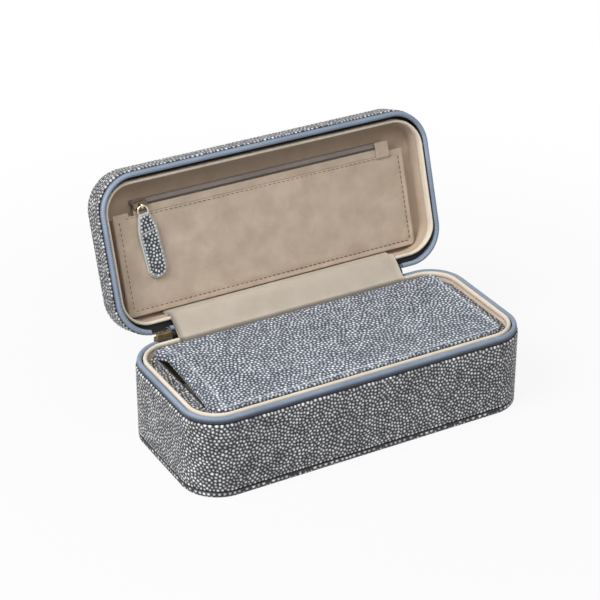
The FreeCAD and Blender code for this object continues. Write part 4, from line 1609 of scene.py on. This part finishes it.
def rounded_box(low: Array, high: Array, radius: float, step: float = PLAIN_STEP) -> Array:
    """Rows of a box whose edges are all rounded.

    Args:
        low: Its lowest corner.
        high: Its highest corner.
        radius: How round its edges are.
        step: Largest distance between points along a side.

    Returns:
        Rows as in slab.
    """
    half = (high - low) / 2
    outline = Outline(half[0], -half[1], half[1], radius, radius)
    return slab(outline, low[2], high[2], radius, step) + [*((low + high) / 2)[:2], 0.0]


@dataclass
class Hinge:
    """Leather spine outside the hinge and suede gusset inside it."""

    spine_thickness: float = 0.8
    # How far the spine laps over the base and the lid, and where it starts to bend beyond each
    spine_lap: float = 2.2
    base_bend: float = 2.0
    lid_bend: float = 0.8
    spine_samples: int = 8
    gusset_thickness: float = 0.8
    gusset_samples: int = 10
    gusset_step: float = 3.0
    # How the gusset goes up past the base's lip and over it, and how deep it lies in the lid
    lip_rise: float = 0.3
    lip_bend: tuple[float, float] = (2.0, 1.0)
    lid_inset: float = 2.6
    lid_reach: float = 4.5

    def build(self) -> None:
        """Makes both strips."""
        self.spine()
        self.gusset()

    def strip(self, line: Array, thickness: float, half: float, step: float, leather: float) -> Draft:
        """A strip of even thickness that follows a line across the box.

        Args:
            line: Places along Y and Z, from the base to the lid.
            thickness: How thick it is.
            half: Half its length along X.
            step: Distance between columns.
            leather: 1 where its outer side is beaded.

        Returns:
            The draft.
        """
        heading = np.gradient(line, axis=0)
        heading /= np.linalg.norm(heading, axis=1)[:, None]
        normal = np.stack([heading[:, 1], -heading[:, 0]], 1)
        outer = line + normal * thickness / 2
        inner = line - normal * thickness / 2
        ring = np.concatenate([outer, inner[::-1]])
        marks = np.concatenate([np.full(len(outer), leather), np.zeros(len(inner))])
        x = np.linspace(-half, half, math.ceil(2 * half / step) + 1)
        rows = np.stack(np.broadcast_arrays(x, ring[:, :1], ring[:, 1:]), 2)
        return Draft().bar(rows, leather=marks)

    def spine(self) -> None:
        """The leather outside the hinge."""
        box = node_box("hinge_spine")
        base = node_box("base_cover")
        lid = node_box("lid_cover", True)
        y = box.low[1] + self.spine_thickness / 2
        rim, lid_rim = base.high[2], lid.low[2]
        upper = [(0, y, lid_rim - self.lid_bend), (0, y, lid_rim + self.spine_lap)]
        upper = opened(np.array(upper))[:, 1:]
        corners = [(y, rim - self.spine_lap), (y, rim + self.base_bend),
                   (y, HINGE[2] - self.spine_thickness), *upper]
        line = spaced(smooth_line(corners, self.spine_samples), GRAIN_STEP)
        draft = self.strip(line, self.spine_thickness, box.high[0], GRAIN_STEP, 1.0)
        piece = BEADS.raise_on(draft.build("spine_leather", [LEATHER]), seed=4)
        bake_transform(piece)
        seat(piece, None, "shagreen", "hinge_spine")

    def gusset(self) -> None:
        """The lining that bridges the hinge inside."""
        box = node_box("hinge_gusset")
        lid_lip = node_box("lid_lip", True)
        lip = node_box("base_lip")
        y = box.low[1] + self.gusset_thickness / 2
        wall = lid_lip.high[1] - self.lid_inset
        panel = node_box("pocket_panel", True)
        end = (0, panel.high[1] + self.gusset_thickness, panel.low[2] + self.gusset_thickness)
        deep = lid_lip.low[2] + self.lid_reach
        upper = opened(np.array([(0, wall, lid_lip.low[2]), (0, wall, deep), end]))[:, 1:]
        top = lip.high[2]
        corners = [(y, box.low[2]), (y, top + self.lip_rise),
                   (y + self.lip_bend[0], top + self.lip_bend[1]), *upper]
        line = smooth_line(corners, self.gusset_samples)
        draft = self.strip(line, self.gusset_thickness, box.high[0], self.gusset_step, 0.0)
        piece = draft.build("hinge_lining", [HINGE_SUEDE])
        start, end = corners[2], upper[0]
        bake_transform(piece)
        seat(piece, None, "lip", "hinge_gusset")


@dataclass
class ZipPull:
    """A ring and a folded leather tab that hang from a slider's bail."""

    name: str
    joint: str
    outward: tuple[float, float, float]
    metal: Finish
    wire: float = 1.1
    ring_radius: float = 2.8
    ring_points: int = 48
    wire_points: int = 14
    tab_length: float = 34.0
    tab_width: float = 10.5
    tab_thickness: float = 2.0
    tab_lap: float = 1.6
    tab_step: float = 0.4
    tab_edge: float = 0.4
    fold_share: float = 0.28
    fold_slant: float = -0.12
    fold_lift: float = 0.35
    seam_width: float = 0.65
    rim_tone: float = 0.4
    rim_rows: int = 2
    # Half width of the tab, as shares of its width, at shares of its length from the ring
    tab_shares: tuple = ((0.0, 0.55), (0.05, 0.64), (0.22, 0.95), (0.32, 1.0))
    tip_share: float = 0.86
    tip_turn: float = 1.4
    tip_points: int = 9
    place: Callable = field(init=False)

    def build(self) -> None:
        """Makes the ring and the tab where the frame hangs them."""
        ring = node_box(self.name + "_ring")
        pivot = np.array(joint_of(self.joint)["pos_m"]) / MM
        down = ring.middle - pivot
        down /= np.linalg.norm(down)
        out = np.array(self.outward, float)
        out -= down * out.dot(down)
        out /= np.linalg.norm(out)
        across = np.cross(out, down)

        def place(points: Array) -> Array:
            """Hangs points given as along, across and out."""
            return pivot + points @ np.stack([down, across, out])

        self.place = place
        self.ring()
        self.tab()

    def ring(self) -> None:
        """The wire ring."""
        turn = np.linspace(0, 2 * math.pi, self.ring_points, endpoint=False)[:, None]
        round_wire = np.linspace(0, 2 * math.pi, self.wire_points, endpoint=False)
        reach = self.ring_radius + self.wire / 2 * np.cos(round_wire)
        rows = np.stack(np.broadcast_arrays(self.ring_radius - reach * np.cos(turn), reach * np.sin(turn),
                                            self.wire / 2 * np.sin(round_wire)), 2)
        draft = Draft().grid(rows, loop=True)
        piece = draft.build(self.name + "_wire_ring", [self.metal], self.place)
        seat(piece, self.name, "hardware", self.name + "_ring")

    def tab(self) -> None:
        """The folded leather tab."""
        top = 2 * self.ring_radius - self.tab_lap
        round_share = 1 - self.tip_share
        tip = [(self.tip_share + round_share * math.sin(turn) / math.sin(self.tip_turn), math.cos(turn))
               for turn in np.linspace(0, self.tip_turn, self.tip_points)]
        side = np.array([(top + self.tab_length * along, self.tab_width / 2 * wide)
                         for along, wide in list(self.tab_shares) + tip])
        outline = np.concatenate([side, side[::-1] * [1, -1]])
        outline = spaced(np.concatenate([outline, outline[:1]]), self.tab_step)[:-1]
        middle = top + self.tab_length / 2
        walk = walk_round(outline - [middle, 0])
        half = self.tab_thickness / 2
        edge = self.tab_edge
        rows = walk.rows(wall_profile(-half, half, (edge, edge), (3, 3)))
        reach = (self.tab_length - self.tab_width) / 2
        count = math.ceil(self.tab_width / 2 / self.tab_step)
        under = towards_middle(rows[0], reach, 0.0, count)[::-1]
        over = towards_middle(rows[-1], reach, 0.0, count)
        every = np.concatenate([under, rows, over])
        every[..., 0] += middle
        fold = top + self.tab_length * self.fold_share + self.fold_slant * every[..., 1]
        above = np.clip((fold - every[..., 0]) / self.tab_step, 0, 1) * (every[..., 2] > 0)
        seam = np.clip(1 - np.abs(fold - every[..., 0]) / self.seam_width, 0, 1) * (every[..., 2] > 0)
        every[..., 2] += self.fold_lift * above
        leather = np.concatenate([np.ones(len(under)), np.zeros(len(rows)), np.ones(len(over))])
        leather = leather[:, None] * (seam <= 0)
        face = len(under) + len(rows)
        slots = np.zeros(len(every) - 1, int)
        slots[len(under):face - 1] = 1
        rim = np.zeros((len(every), 1))
        rim[face:face + self.rim_rows] = self.rim_tone
        draft = Draft().skin(every, slots, leather=leather, crease=np.maximum(seam, rim))
        piece = draft.build(self.name + "_leather_tab", [TAB_LEATHER, CUT_EDGE], self.place)
        TAB_BEADS.raise_on(piece, seed=5)
        seat(piece, self.name, "shagreen", self.name + "_tab")


@dataclass
class Slider:
    """What both sliders have: a bail that the pull's ring hangs from."""

    bail_wire: float = 0.45
    bail_wide: float = 0.8
    bail_reach: float = 1.35
    bail_points: int = 17
    bail_sides: int = 10
    bow: float = 0.6

    def bail(self, foot: Sequence[float], along: Sequence[float], out: Sequence[float]) -> Array:
        """The bow of flat wire.

        Args:
            foot: The place midway between its two ends.
            along: Which way one end lies from the other.
            out: From there to its crown.

        Returns:
            Rings of points along it.
        """
        turn = np.linspace(0, math.pi, self.bail_points)[:, None]
        arch = np.array(foot) - self.bail_reach * np.cos(turn) * along + np.sin(turn) ** self.bow * out
        return tube(arch, self.bail_wide, self.bail_sides, self.bail_wire / self.bail_wide)


@dataclass
class PocketSlider(Slider):
    """The slider on the pocket's zip."""

    plate: float = 0.7
    round: float = 0.28
    height: float = 2.0
    samples: int = 6
    # The post between the plates, as shares of their half length and half width
    post: tuple[float, float] = (0.35, 0.4)
    post_round: float = 0.3
    # Half width of the slider at shares of its half length
    shares: tuple = ((-1.0, 0.0), (-0.96, 0.5), (-0.6, 0.82), (0.0, 0.9), (0.55, 1.0), (0.92, 0.8),
                     (1.0, 0.0))

    def build(self) -> None:
        """Makes the slider."""
        box = node_box("pocket_slider", True)
        half_x, half_y, _ = (box.high - box.low) / 2
        foot = box.high[2]
        middle = box.middle
        side = [(half_x * along, half_y * wide) for along, wide in self.shares]
        side = smooth_line(side, self.samples)
        walk = walk_round(np.concatenate([side, side[-2:0:-1] * [1, -1]]))
        draft = Draft()
        # The plates and the post wear the darker gold: painted dark reflection
        for low in (0.0, self.height - self.plate):
            profile = wall_profile(low, low + self.plate, (self.round, self.round), (3, 3))
            draft.shell(walk.rows(profile), 1)
        post = np.array([half_x * self.post[0], half_y * self.post[1], self.height / 2])
        centre = np.array([0, 0, self.height / 2])
        draft.skin(rounded_box(centre - post, centre + post, self.post_round), 1)
        rise = (box.high[2] - box.low[2]) - self.height - self.bail_wire
        draft.shell(self.bail((0, 0, self.height), (0, 1, 0), (0, 0, rise)))

        def place(points: Array) -> Array:
            """Sets the slider on its zip, with its height into the lid."""
            moved = np.stack([points[:, 0] + middle[0], -points[:, 1] + middle[1], foot - points[:, 2]], 1)
            return opened(moved)

        piece = draft.build("pocket_zip_slider", [GOLD, GOLD_PAINTED_DARK_REFLECTION], place)
        seat(piece, "pocket_slider", "hardware", "pocket_slider")


@dataclass
class MainSlider(Slider):
    """The slider of the main zip, parked at the left end of the hinge."""

    plate: float = 0.9
    web: float = 1.2
    web_inset: float = 2.2
    head_wide: float = 2.0
    round: float = 0.4
    gap: float = 0.3
    step: float = 1.0

    def build(self) -> None:
        """Makes the slider's plates, bridge and bail."""
        box = node_box("main_slider")
        tape = node_box("base_zip_tape")
        lip = node_box("base_lip")
        low, high = box.low, box.high
        plate_low = tape.high[1] + self.gap
        web_low = tape.high[2] + self.gap
        web_high = web_low + self.web
        head_high = CASE.back - self.web_inset
        draft = Draft()
        parts = [
            ((low[0], plate_low, low[2]), (high[0], plate_low + self.plate, web_high)),
            ((low[0], head_high - self.round, web_low), (high[0], plate_low + self.round, web_high)),
            ((low[0], low[1], lip.high[2] + self.gap), (high[0], low[1] + self.head_wide, high[2])),
        ]
        for first, second in parts:
            draft.skin(rounded_box(np.array(first), np.array(second), self.round, self.step))
        pivot = np.array(joint_of("main_pull_swing")["pos_m"]) / MM
        back = plate_low + self.plate
        reach = high[1] - back - self.bail_wire
        draft.shell(self.bail((pivot[0], back - self.gap / 2, pivot[2]), (0, 0, 1), (0, reach, 0)))
        piece = draft.build("main_zip_slider", [BRONZE])
        seat(piece, "main_slider", "hardware", "main_slider")


@dataclass
class WatchCase:
    """The lift-out case: beaded leather outside, suede inside, three cushions."""

    step: float = 0.75
    edge: float = 0.7
    corner: float = 13.5
    room_corner: float = 3.0
    floor_inset: float = 10.0
    rim_rows: int = 10
    # How much of a bead grows where the rim's leather turns into the room
    rim_mark: float = 0.4
    lining: float = 0.6
    lining_round: float = 1.5
    room_step: float = 0.6
    divider_round: float = 0.9
    fold_round: float = 0.25
    cushion_room: float = 2.5
    cushion_edge: float = 6.0
    piping_points: int = 96
    piping_wire: float = 0.7
    piping_sides: int = 8

    def build(self) -> None:
        """Makes the case's pieces."""
        self.cover()
        self.room()
        self.dividers()
        self.fold()
        self.cushions()
        dress_node("insert_board", CARD)

    def cover(self) -> None:
        """The leather over the case's walls and rim."""
        box = node_box("insert_cover")
        room = node_box("insert_liner")
        outline = outline_of("insert_cover", self.corner)
        walk = outline.walk(self.step)
        low, high = box.low[2], box.high[2]
        rows = walk.rows(spaced(wall_profile(low, high, (self.edge, self.edge), (2, 3)), self.step))
        inner = Outline(room.high[0], room.low[1], room.high[1], self.room_corner, self.room_corner)
        marks, inner_marks = (np.cumsum([0.0] + [stretch[3] for stretch in each.stretches()])
                              for each in (outline, inner))
        matched = inner.at(np.interp(walk.distance, marks, inner_marks))
        edge = matched.rows([(0, high), (0, high - self.edge)])
        shares = np.linspace(0, 1, self.rim_rows)[1:-1, None, None]
        between = rows[-1] + shares * (edge[0] - rows[-1])
        rows = np.concatenate([walk.rows([(self.floor_inset, low)]), rows, between, edge])
        leather = np.concatenate([[0.0], np.ones(len(rows) - 3), [self.rim_mark, 0.0]])
        draft = Draft().grid(rows, leather=leather)
        draft.cap(draft.last[0])
        piece = BEADS.raise_on(draft.build("watch_case_leather", [LEATHER]), seed=6)
        seat(piece, "watch_case", "shagreen", "insert_cover")

    def room(self) -> None:
        """The suede that lines the case."""
        box = node_box("insert_liner")
        outline = outline_of("insert_liner", self.room_corner)
        low, high = box.low[2], box.high[2]
        thin = self.lining
        radius = self.lining_round
        corner = arc((thin + radius, low + thin + radius), radius, 180, 270)
        profile = [(self.floor_inset, low), (0, low), (0, high), (thin, high), *corner,
                   (self.floor_inset, low + thin)]
        rows = outline.walk(PLAIN_STEP, self.room_step).rows(profile)
        # The lining's top edge wears the near-black card: painted shade under the flap's lifted end
        draft = Draft().shell(rows, [0, 0, 1] + [0] * (len(rows) - 4))
        seat(draft.build("watch_case_lining", [LINING, DARK_CARD_PAINTED_SHADE]), "watch_case", "lining", "insert_liner")

    def dividers(self) -> None:
        """The suede-covered dividers."""
        for index in (1, 2):
            node = "insert_divider_%d" % index
            box = node_box(node)
            draft = Draft().skin(rounded_box(box.low, box.high, self.divider_round))
            seat(draft.build("suede_divider_%d" % index, [LINING]), "watch_case", "lining", node)

    def fold(self) -> None:
        """The leather fold along the front that the flap turns on."""
        box = node_box("flap_fold")
        draft = Draft().skin(rounded_box(box.low, box.high, self.fold_round, GRAIN_STEP), leather=1.0)
        # The fold wears the flap's lighter leather, whose lightness is painted reflection
        piece = BEADS.raise_on(draft.build("flap_hinge_fold", [FLAP_LEATHER_PAINTED_REFLECTION]), seed=8)
        seat(piece, "watch_case", "shagreen", "flap_fold")

    def cushions(self) -> None:
        """Three watch cushions, puffed up by their filling, with a piped seam round each."""
        for index in (1, 2, 3):
            node = "watch_cushion_%d" % index
            box = node_box(node)
            room = self.cushion_room
            draft = Draft().skin(rounded_box(box.low + room, box.high - room, self.cushion_edge))
            piece = draft.build("suede_cushion_%d" % index, [LINING])
            puff(piece, box)
            self.piping(piece, box)
            seat(piece, "watch_case", "cushion", node)

    def piping(self, piece: Piece, box: Box) -> None:
        """Sews a cord round a cushion's middle.

        Args:
            piece: The cushion.
            box: The space that it fills.
        """
        tree = BVHTree.FromPolygons([vertex.co for vertex in piece.data.vertices],
                                    [polygon.vertices for polygon in piece.data.polygons])
        middle = Vector(box.middle * MM)
        line = []
        for turn in np.linspace(0, 2 * math.pi, self.piping_points, endpoint=False):
            way = Vector((math.cos(turn), math.sin(turn), 0.0))
            line.append(tree.ray_cast(middle, way)[0] / MM)
        line = np.array(line)
        ring = tube(np.concatenate([line[-1:], line, line[:1]]), self.piping_wire, self.piping_sides)[1:-1]
        join(piece, Draft().grid(ring, loop=True).build("piping", [CREAM]))


def puff(piece: Piece, box: Box, voxel: float = 4.5, pressure: float = 4.0,
         weight: float = 0.004, give: float = 1.0, frames: int = 20, most: float = 6.0) -> None:
    """Swells a cushion as a cloth under pressure, keeps the result and fits it into its space.

    Args:
        piece: The cushion, a little smaller than its space.
        box: The space.
        voxel: Size of the cloth's mesh.
        pressure: How hard the filling presses.
        weight: Weight of each point of the cloth.
        give: How stiffly the cloth keeps its size.
        frames: How long it swells.
        most: How far a point may move.
    """
    scene = bpy.context.scene
    remesh = piece.modifiers.new("even mesh", "REMESH")
    remesh.mode = "VOXEL"
    remesh.voxel_size = voxel * MM
    settle(piece)
    before = numbers_of(piece.data.vertices, "co", 3)
    cloth = piece.modifiers.new("filling", "CLOTH")
    cloth.settings.use_pressure = True
    cloth.settings.uniform_pressure_force = pressure
    cloth.settings.mass = weight
    cloth.settings.tension_stiffness = give
    cloth.settings.compression_stiffness = give
    cloth.settings.shear_stiffness = give
    cloth.settings.effector_weights.gravity = 0.0
    cloth.point_cache.frame_start = 1
    cloth.point_cache.frame_end = frames
    for number in range(1, frames + 1):
        scene.frame_set(number)
    settle(piece)
    move = numbers_of(piece.data.vertices, "co", 3) - before
    length = np.linalg.norm(move, axis=1)
    LOG.info("%s swelled by %.2f mm at most", piece.name, length.max() / MM)
    after = before + move * (most * MM / np.maximum(length, most * MM))[:, None]
    low, high = after.min(0), after.max(0)
    after = (box.low + (after - low) / (high - low) * (box.high - box.low)) * MM
    piece.data.vertices.foreach_set("co", after.astype(np.float32).ravel())
    scene.frame_set(1)
    finer = piece.modifiers.new("finer", "SUBSURF")
    finer.levels = 1
    settle(piece)
    piece.data.polygons.foreach_set("use_smooth", np.ones(len(piece.data.polygons), bool))


def join(piece: Piece, other: Piece) -> None:
    """Makes another object's mesh part of a piece, each with its own finish.

    Args:
        piece: The piece.
        other: The object, which is used up.
    """
    shift = len(piece.data.materials)
    for material in other.data.materials:
        piece.data.materials.append(material)
    other.data.polygons.foreach_set("material_index", np.full(len(other.data.polygons), shift, np.int32))
    work = bmesh.new()
    work.from_mesh(piece.data)
    work.from_mesh(other.data)
    work.to_mesh(piece.data)
    work.free()
    bpy.data.objects.remove(other)


@dataclass
class Flap:
    """The padded leather flap over the watch case, whose left end stands up a little."""

    edge: float = 0.9
    thickness: float = 0.85
    front_corner: float = 7.5
    back_corner: float = 3.0
    step: float = 0.46
    # Where the slit at the left end starts and stops along Y, its width, how the leather bends beside it,
    # and the power that narrows it towards the front
    slit: tuple[float, float] = (-26.0, 27.5)
    slit_width: float = 3.4
    slit_reach: float = 22.0
    slit_end: float = 5.0
    slit_taper: float = 0.6
    lift: float = 0.3
    under_rows: int = 12
    layer_rows: int = 14
    # A layer's thickness over the radius of its edges
    layer_round: float = 2.2
    crown: float = 0.5
    crease_depth: float = 0.3
    crease_width: float = 0.55
    # How much the creases are painted paler: painted highlight along the folds
    crease_highlight: float = 0.35
    # How far inside the left and right ends the leather is creased over the board
    left_crease: float = 7.0
    right_crease: float = 2.2
    box: Box = field(init=False)

    def build(self) -> None:
        """Makes the flap's pieces."""
        self.box = node_box("flap_cover")
        self.cover()
        self.layer("flap_padding", "flap_foam", FOAM, "padding")
        # The board wears near-black card: painted shade in the slit under the flap's left end
        self.layer("flap_board", "flap_stiffener", DARK_CARD_PAINTED_SHADE, "board")
        self.layer("flap_liner", "flap_lining", LINING, "lining")

    def outline(self, node: str) -> Outline:
        """The outline of one of the flap's layers.

        Args:
            node: The layer's node.

        Returns:
            The outline.
        """
        box = node_box(node)
        inset = self.box.high[0] - box.high[0]
        front, back = self.front_corner - inset, self.back_corner - inset
        return Outline(box.high[0], box.low[1], box.high[1], front, back)

    def bent(self, points: Array) -> Array:
        """Draws in and lifts the left end, which leaves a slit along most of it.

        Args:
            points: Points of the flap.

        Returns:
            The moved points.
        """
        left = np.clip(1 - (points[:, 0] - self.box.low[0]) / self.slit_reach, 0, 1)
        front, back = self.slit
        start = np.clip((back - points[:, 1]) / self.slit_end, 0, 1)
        narrow = np.clip((points[:, 1] - front) / (back - front), 0, 1) ** self.slit_taper
        share = eased(left) * eased(start) * narrow
        made = points.copy()
        made[:, 0] += self.slit_width * share
        made[:, 2] += self.lift * share
        return made

    def crease(self, rows: Array) -> Array:
        """Finds the lines where the leather is creased over the board's edges.

        Args:
            rows: Points of the leather.

        Returns:
            1 on such a line, and less beside it.
        """
        left = rows[..., 0] - self.box.low[0] - self.left_crease
        right = self.box.high[0] - self.right_crease - rows[..., 0]
        front = rows[..., 1] - self.box.low[1] - self.right_crease
        lines = [np.exp(-(gap / self.crease_width) ** 2) for gap in (left, right, front)]
        return np.max(lines, 0)

    def cover(self) -> None:
        """The beaded leather on top."""
        box = self.box
        outline = self.outline("flap_cover")
        walk = outline.walk(self.step)
        low, high = box.low[2], box.high[2] - self.crown
        profile = [(0, low), *arc((self.edge, high - self.edge), self.edge, 180, 90, count=3)]
        rows = walk.rows(spaced(profile, self.step))
        middle = box.middle[1]
        deep = (box.high[1] - box.low[1]) / 2
        half = outline.half_x - deep
        top = towards_middle(rows[-1], half, middle, math.ceil(deep / self.step))
        inner = walk.rows([(self.thickness, high - self.thickness), (self.thickness, low)])
        under = towards_middle(inner[0], half, middle, self.under_rows)[::-1]
        for face in (top, under):
            across = np.clip(1 - ((face[..., 1] - middle) / deep) ** 2, 0, 1)
            along = np.clip(1 - (face[..., 0] / outline.half_x) ** 4, 0, 1)
            face[..., 2] += self.crown * across * along
        line = self.crease(top)
        top[..., 2] -= self.crease_depth * line
        hidden = np.zeros((len(under) + len(inner) + len(rows), top.shape[1]))
        leather = np.concatenate([np.zeros(len(under) + len(inner)), np.ones(len(rows) + len(top))])
        # Painted highlight along the creases on top
        tone = self.crease_highlight * np.concatenate([hidden, line])
        draft = Draft().skin(np.concatenate([under, inner, rows, top]), leather=leather, crease=tone)
        # The flap's lighter leather is painted reflection
        piece = BEADS.raise_on(draft.build("flap_leather", [FLAP_LEATHER_PAINTED_REFLECTION], self.bent), seed=7)
        seat(piece, "flap", "shagreen", "flap_cover")

    def layer(self, node: str, name: str, finish: Finish, slot: str) -> None:
        """Makes one of the layers under the leather.

        Args:
            node: The layer's node.
            name: The piece's name.
            finish: What its two faces wear.
            slot: The record's name for its material.
        """
        box = node_box(node)
        radius = (box.high[2] - box.low[2]) / self.layer_round
        rows = slab(self.outline(node), box.low[2], box.high[2] - LAYER_GAP, radius, count=self.layer_rows)
        # The layers' edges wear near-black card: painted shade in the slit under the flap
        edges = np.zeros(len(rows) - 1, int)
        edges[self.layer_rows - 1:-self.layer_rows + 1] = 1
        piece = Draft().skin(rows, edges).build(name, [finish, DARK_CARD_PAINTED_SHADE], self.bent)
        seat(piece, "flap", slot, node)


@dataclass(frozen=True)
class Lamp:
    """A soft square lamp, with its power in watts."""

    name: str
    place: tuple[float, float, float]
    size: float
    power: float


@dataclass
class Studio:
    """Pale floor, two soft lamps, white surroundings and the camera."""

    eye: tuple[float, float, float] = (-450.75, -772.42, 559.62)
    target: tuple[float, float, float] = (-17.04, 0.0, 71.16)
    lens: float = 123.25
    sensor: float = 36.0
    # How far the camera sees, in metres
    sight: float = 100.0
    floor_half: float = 12000.0
    floor_grey: float = 0.66
    # Share of the floor that is plain white to the camera, beside the box and far from it
    white_near: float = 0.9
    white_far: float = 1.0
    near: float = 120.0
    far: float = 420.0
    fill: float = 0.28
    lamps: tuple[Lamp, ...] = (Lamp("key", (-800.0, -120.0, 1000.0), size=700.0, power=12.8),
                               Lamp("front", (-350.0, -900.0, 1150.0), size=500.0, power=5.8))

    def build(self) -> None:
        """Sets up the picture."""
        bpy.context.scene.view_settings.view_transform = "Standard"
        self.camera()
        self.world()
        self.floor()
        for lamp in self.lamps:
            self.light(lamp)

    def aimed(self, name: str, data: bpy.types.ID, place: Sequence[float]) -> Piece:
        """Adds a camera or a lamp that faces the box.

        Args:
            name: Its name.
            data: The camera or the lamp.
            place: Where it stands.

        Returns:
            The object.
        """
        made = put(name, data)
        made.location = Vector(place) * MM
        made.rotation_euler = (Vector(self.target) * MM - made.location).to_track_quat("-Z", "Y").to_euler()
        return made

    def camera(self) -> None:
        """Puts the camera at the photograph's viewing angle."""
        data = bpy.data.cameras.new("camera")
        data.lens = self.lens
        data.sensor_width = self.sensor
        data.clip_end = self.sight
        bpy.context.scene.camera = self.aimed("camera", data, self.eye)

    def seen(self, maker: NodeMaker) -> Socket:
        """1 for rays that show the surroundings: from the camera, a mirror or glass."""
        path = maker.add("ShaderNodeLightPath").outputs
        return maker.math("ADD", maker.math("ADD", path["Is Camera Ray"], path["Is Glossy Ray"]),
                          path["Is Transmission Ray"], clamp=True)

    def world(self) -> None:
        """White surroundings that light the object gently."""
        world = bpy.data.worlds.new("studio")
        maker = fresh_nodes(world)
        strength = maker.span(self.seen(maker), 0.0, 1.0, self.fill, 1.0)
        light = maker.add("ShaderNodeBackground", {"Color": (1, 1, 1, 1), "Strength": strength})
        maker.add("ShaderNodeOutputWorld", {"Surface": light.outputs[0]})
        bpy.context.scene.world = world

    def floor(self) -> None:
        """A pale floor that keeps a faint shadow beside the box."""
        half = self.floor_half * MM
        mesh = bpy.data.meshes.new("floor")
        corners = [(-half, -half, 0), (half, -half, 0), (half, half, 0), (-half, half, 0)]
        mesh.from_pydata(corners, [], [(0, 1, 2, 3)])
        material = bpy.data.materials.new("pale_floor")
        maker = fresh_nodes(material)
        matt = maker.add("ShaderNodeBsdfDiffuse", {"Color": (self.floor_grey,) * 3 + (1.0,)})
        glow = maker.add("ShaderNodeEmission", {"Color": (1, 1, 1, 1), "Strength": 1.0})
        away = maker.add("ShaderNodeVectorMath", {0: maker.place()}, operation="LENGTH").outputs["Value"]
        white = maker.span(away, self.near * MM, self.far * MM, self.white_near, self.white_far)
        share = maker.math("MULTIPLY", self.seen(maker), white)
        both = maker.add("ShaderNodeMixShader", {0: share, 1: matt.outputs[0], 2: glow.outputs[0]})
        maker.add("ShaderNodeOutputMaterial", {"Surface": both.outputs[0]})
        mesh.materials.append(material)
        floor = put("floor", mesh)

    def light(self, lamp: Lamp) -> None:
        """Adds a lamp that faces the box.

        Args:
            lamp: The lamp.
        """
        data = bpy.data.lights.new(lamp.name, "AREA")
        data.size = lamp.size * MM
        data.energy = lamp.power
        self.aimed(lamp.name, data, lamp.place)


def main() -> None:
    """Builds every sub-assembly in order."""
    logging.basicConfig(level=logging.INFO, format="%(name)s: %(message)s")
    parts = [
        BaseTray(), RimZip(Side.BASE), LidShell(), RimZip(Side.LID), LidPocket(), Hinge(),
        PocketSlider(), ZipPull("pocket_pull", "pocket_pull_swing", (0, -1, 0.3), GOLD),
        MainSlider(), ZipPull("main_pull", "main_pull_swing", (0, 1, 0), BRONZE),
        WatchCase(), Flap(), Studio(),
    ]
    for part in parts:
        part.build()
        LOG.info("built %s", type(part).__name__)


if __name__ == "__main__":
    main()
